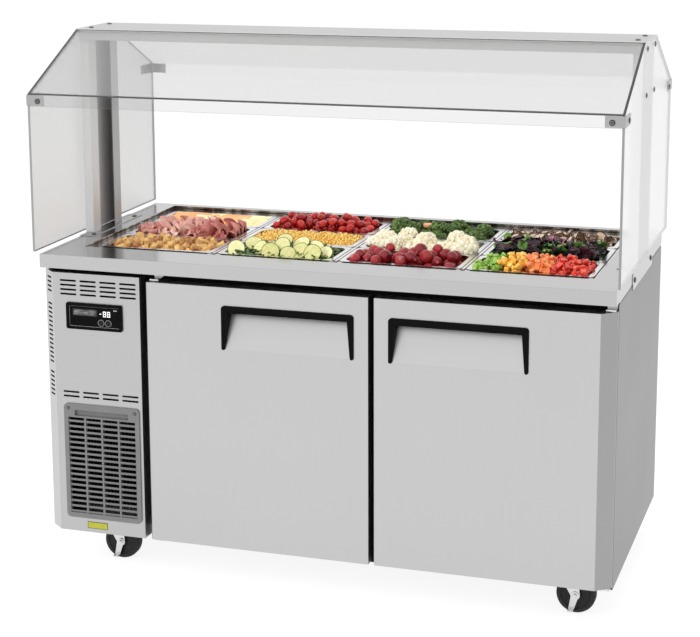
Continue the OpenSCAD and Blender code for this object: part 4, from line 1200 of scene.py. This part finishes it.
# %% Chopped peppers in four colours, fourth front pan
def pepper_cut(finish, flesh, length):
    piece = sized("cube", (length, 0.0115, 0.0058))
    with editing(piece):
        pick_all()
        bpy.ops.mesh.subdivide(number_cuts=2)
    curl(piece, "Y", 75)
    modify(piece, "SUBSURF", levels=1, render_levels=1)
    return give_skin(coat(piece, 80), finish, flesh, lambda face: face.normal.z < -0.3)


PEPPERS = (
    ("green", (84, 134, 36), (164, 208, 90), (176, 214, 110), -1.0, -0.60, 38),
    ("yellow", (246, 166, 40), (255, 214, 96), (255, 222, 140), -0.60, -0.16, 46),
    ("orange", (240, 110, 58), (255, 158, 92), (255, 182, 120), -0.16, 0.32, 50),
    ("red", (188, 26, 30), (244, 84, 66), (252, 136, 110), 0.32, 1.0, 64),
)
serving = Serving("pan_4a", 0.014, 0.014, 41, "pepper", (110, 36, 12), (150, 60, 24))
for name, dark, light, flesh, left, right, count in PEPPERS:
    skin = edible("pepper_" + name, dark, light, 0.24, 40.0, 0.0002, 0.5)
    inner = edible("pepper_%s_flesh" % name, light, flesh, 0.4, 60.0)
    cuts = [pepper_cut(skin, inner, 0.025), pepper_cut(skin, inner, 0.019)]
    serving.heap("peppers_" + name, cuts, serving.drop(count, 0.0086, 8, 0.65, left, right), size=0.2)


# %% Mixed leaves, fourth middle pan
def leaf(width, length, seed, finish):
    piece = sized("grid", (length, width, 1), x_subdivisions=9, y_subdivisions=6)
    with editing(piece, "VERT"):
        pick(lambda point: abs(point.co.x) > length * 0.36, True)
        bpy.ops.transform.resize(value=(1, 0.6, 1))
        pick_all()
        bpy.ops.transform.vertex_random(offset=0.0058, uniform=0.4, seed=seed)
    curl(piece, "Y", 70)
    modify(piece, "SUBSURF", levels=1, render_levels=1)
    modify(piece, "SOLIDIFY", thickness=0.0009, offset=0)
    return coat(piece, 80, finish)


LEAVES = (
    ("dark", (12, 20, 12), (52, 76, 40), 78),
    ("purple", (24, 12, 20), (84, 46, 60), 40),
    ("bright", (66, 108, 36), (140, 180, 90), 11),
    ("magenta", (150, 50, 100), (232, 160, 196), 2),
)
serving = Serving("pan_4b", 0.014, 0.020, 42, "leaf", (8, 12, 8), (20, 28, 16))
for index, (name, dark, light, count) in enumerate(LEAVES):
    finish = edible("leaf_" + name, dark, light, 0.4, 55.0, 0.0008, 0.2)
    leaves = [leaf(0.030, 0.046, 7 + index, finish), leaf(0.024, 0.038, 17 + index, finish)]
    serving.heap("leaves_" + name, leaves, serving.drop(count, 0.0125, 8, 0.45), 0.9, 0.2)


# %% Sliced mushrooms, fourth back pan
def mushroom_slice(radius):
    piece = begin("cylinder", vertices=24, radius=radius, depth=0.0034)
    with editing(piece, "VERT"):
        pick(lambda point: point.co.y < -radius * 0.15, True)
        bpy.ops.transform.resize(value=(0.36, 1, 1))
        pick(lambda point: point.co.y > radius * 0.2, True)
        bpy.ops.transform.resize(value=(1.12, 0.9, 1))
    with editing(piece):
        pick(lambda face: abs(face.normal.z) > 0.9)
        bpy.ops.mesh.inset(thickness=0.0022)
    return give_skin(coat(piece, 35), mushroom_flesh, mushroom_skin, lambda face: face.area < radius * 0.0045)


mushroom_flesh = edible("mushroom_flesh", (160, 124, 92), (255, 244, 226), 0.55, 60.0, 0.0004)
mushroom_skin = edible("mushroom_skin", (50, 32, 22), (120, 84, 60), 0.6, 90.0)
serving = Serving("pan_4c", 0.012, 0.022, 43, "mushroom", (24, 15, 11), (56, 38, 26))
slices = [mushroom_slice(0.0165), mushroom_slice(0.013)]
serving.heap("mushroom_slices", slices, serving.drop(130, 0.0105, 8, 0.5), 1.1, 0.25)
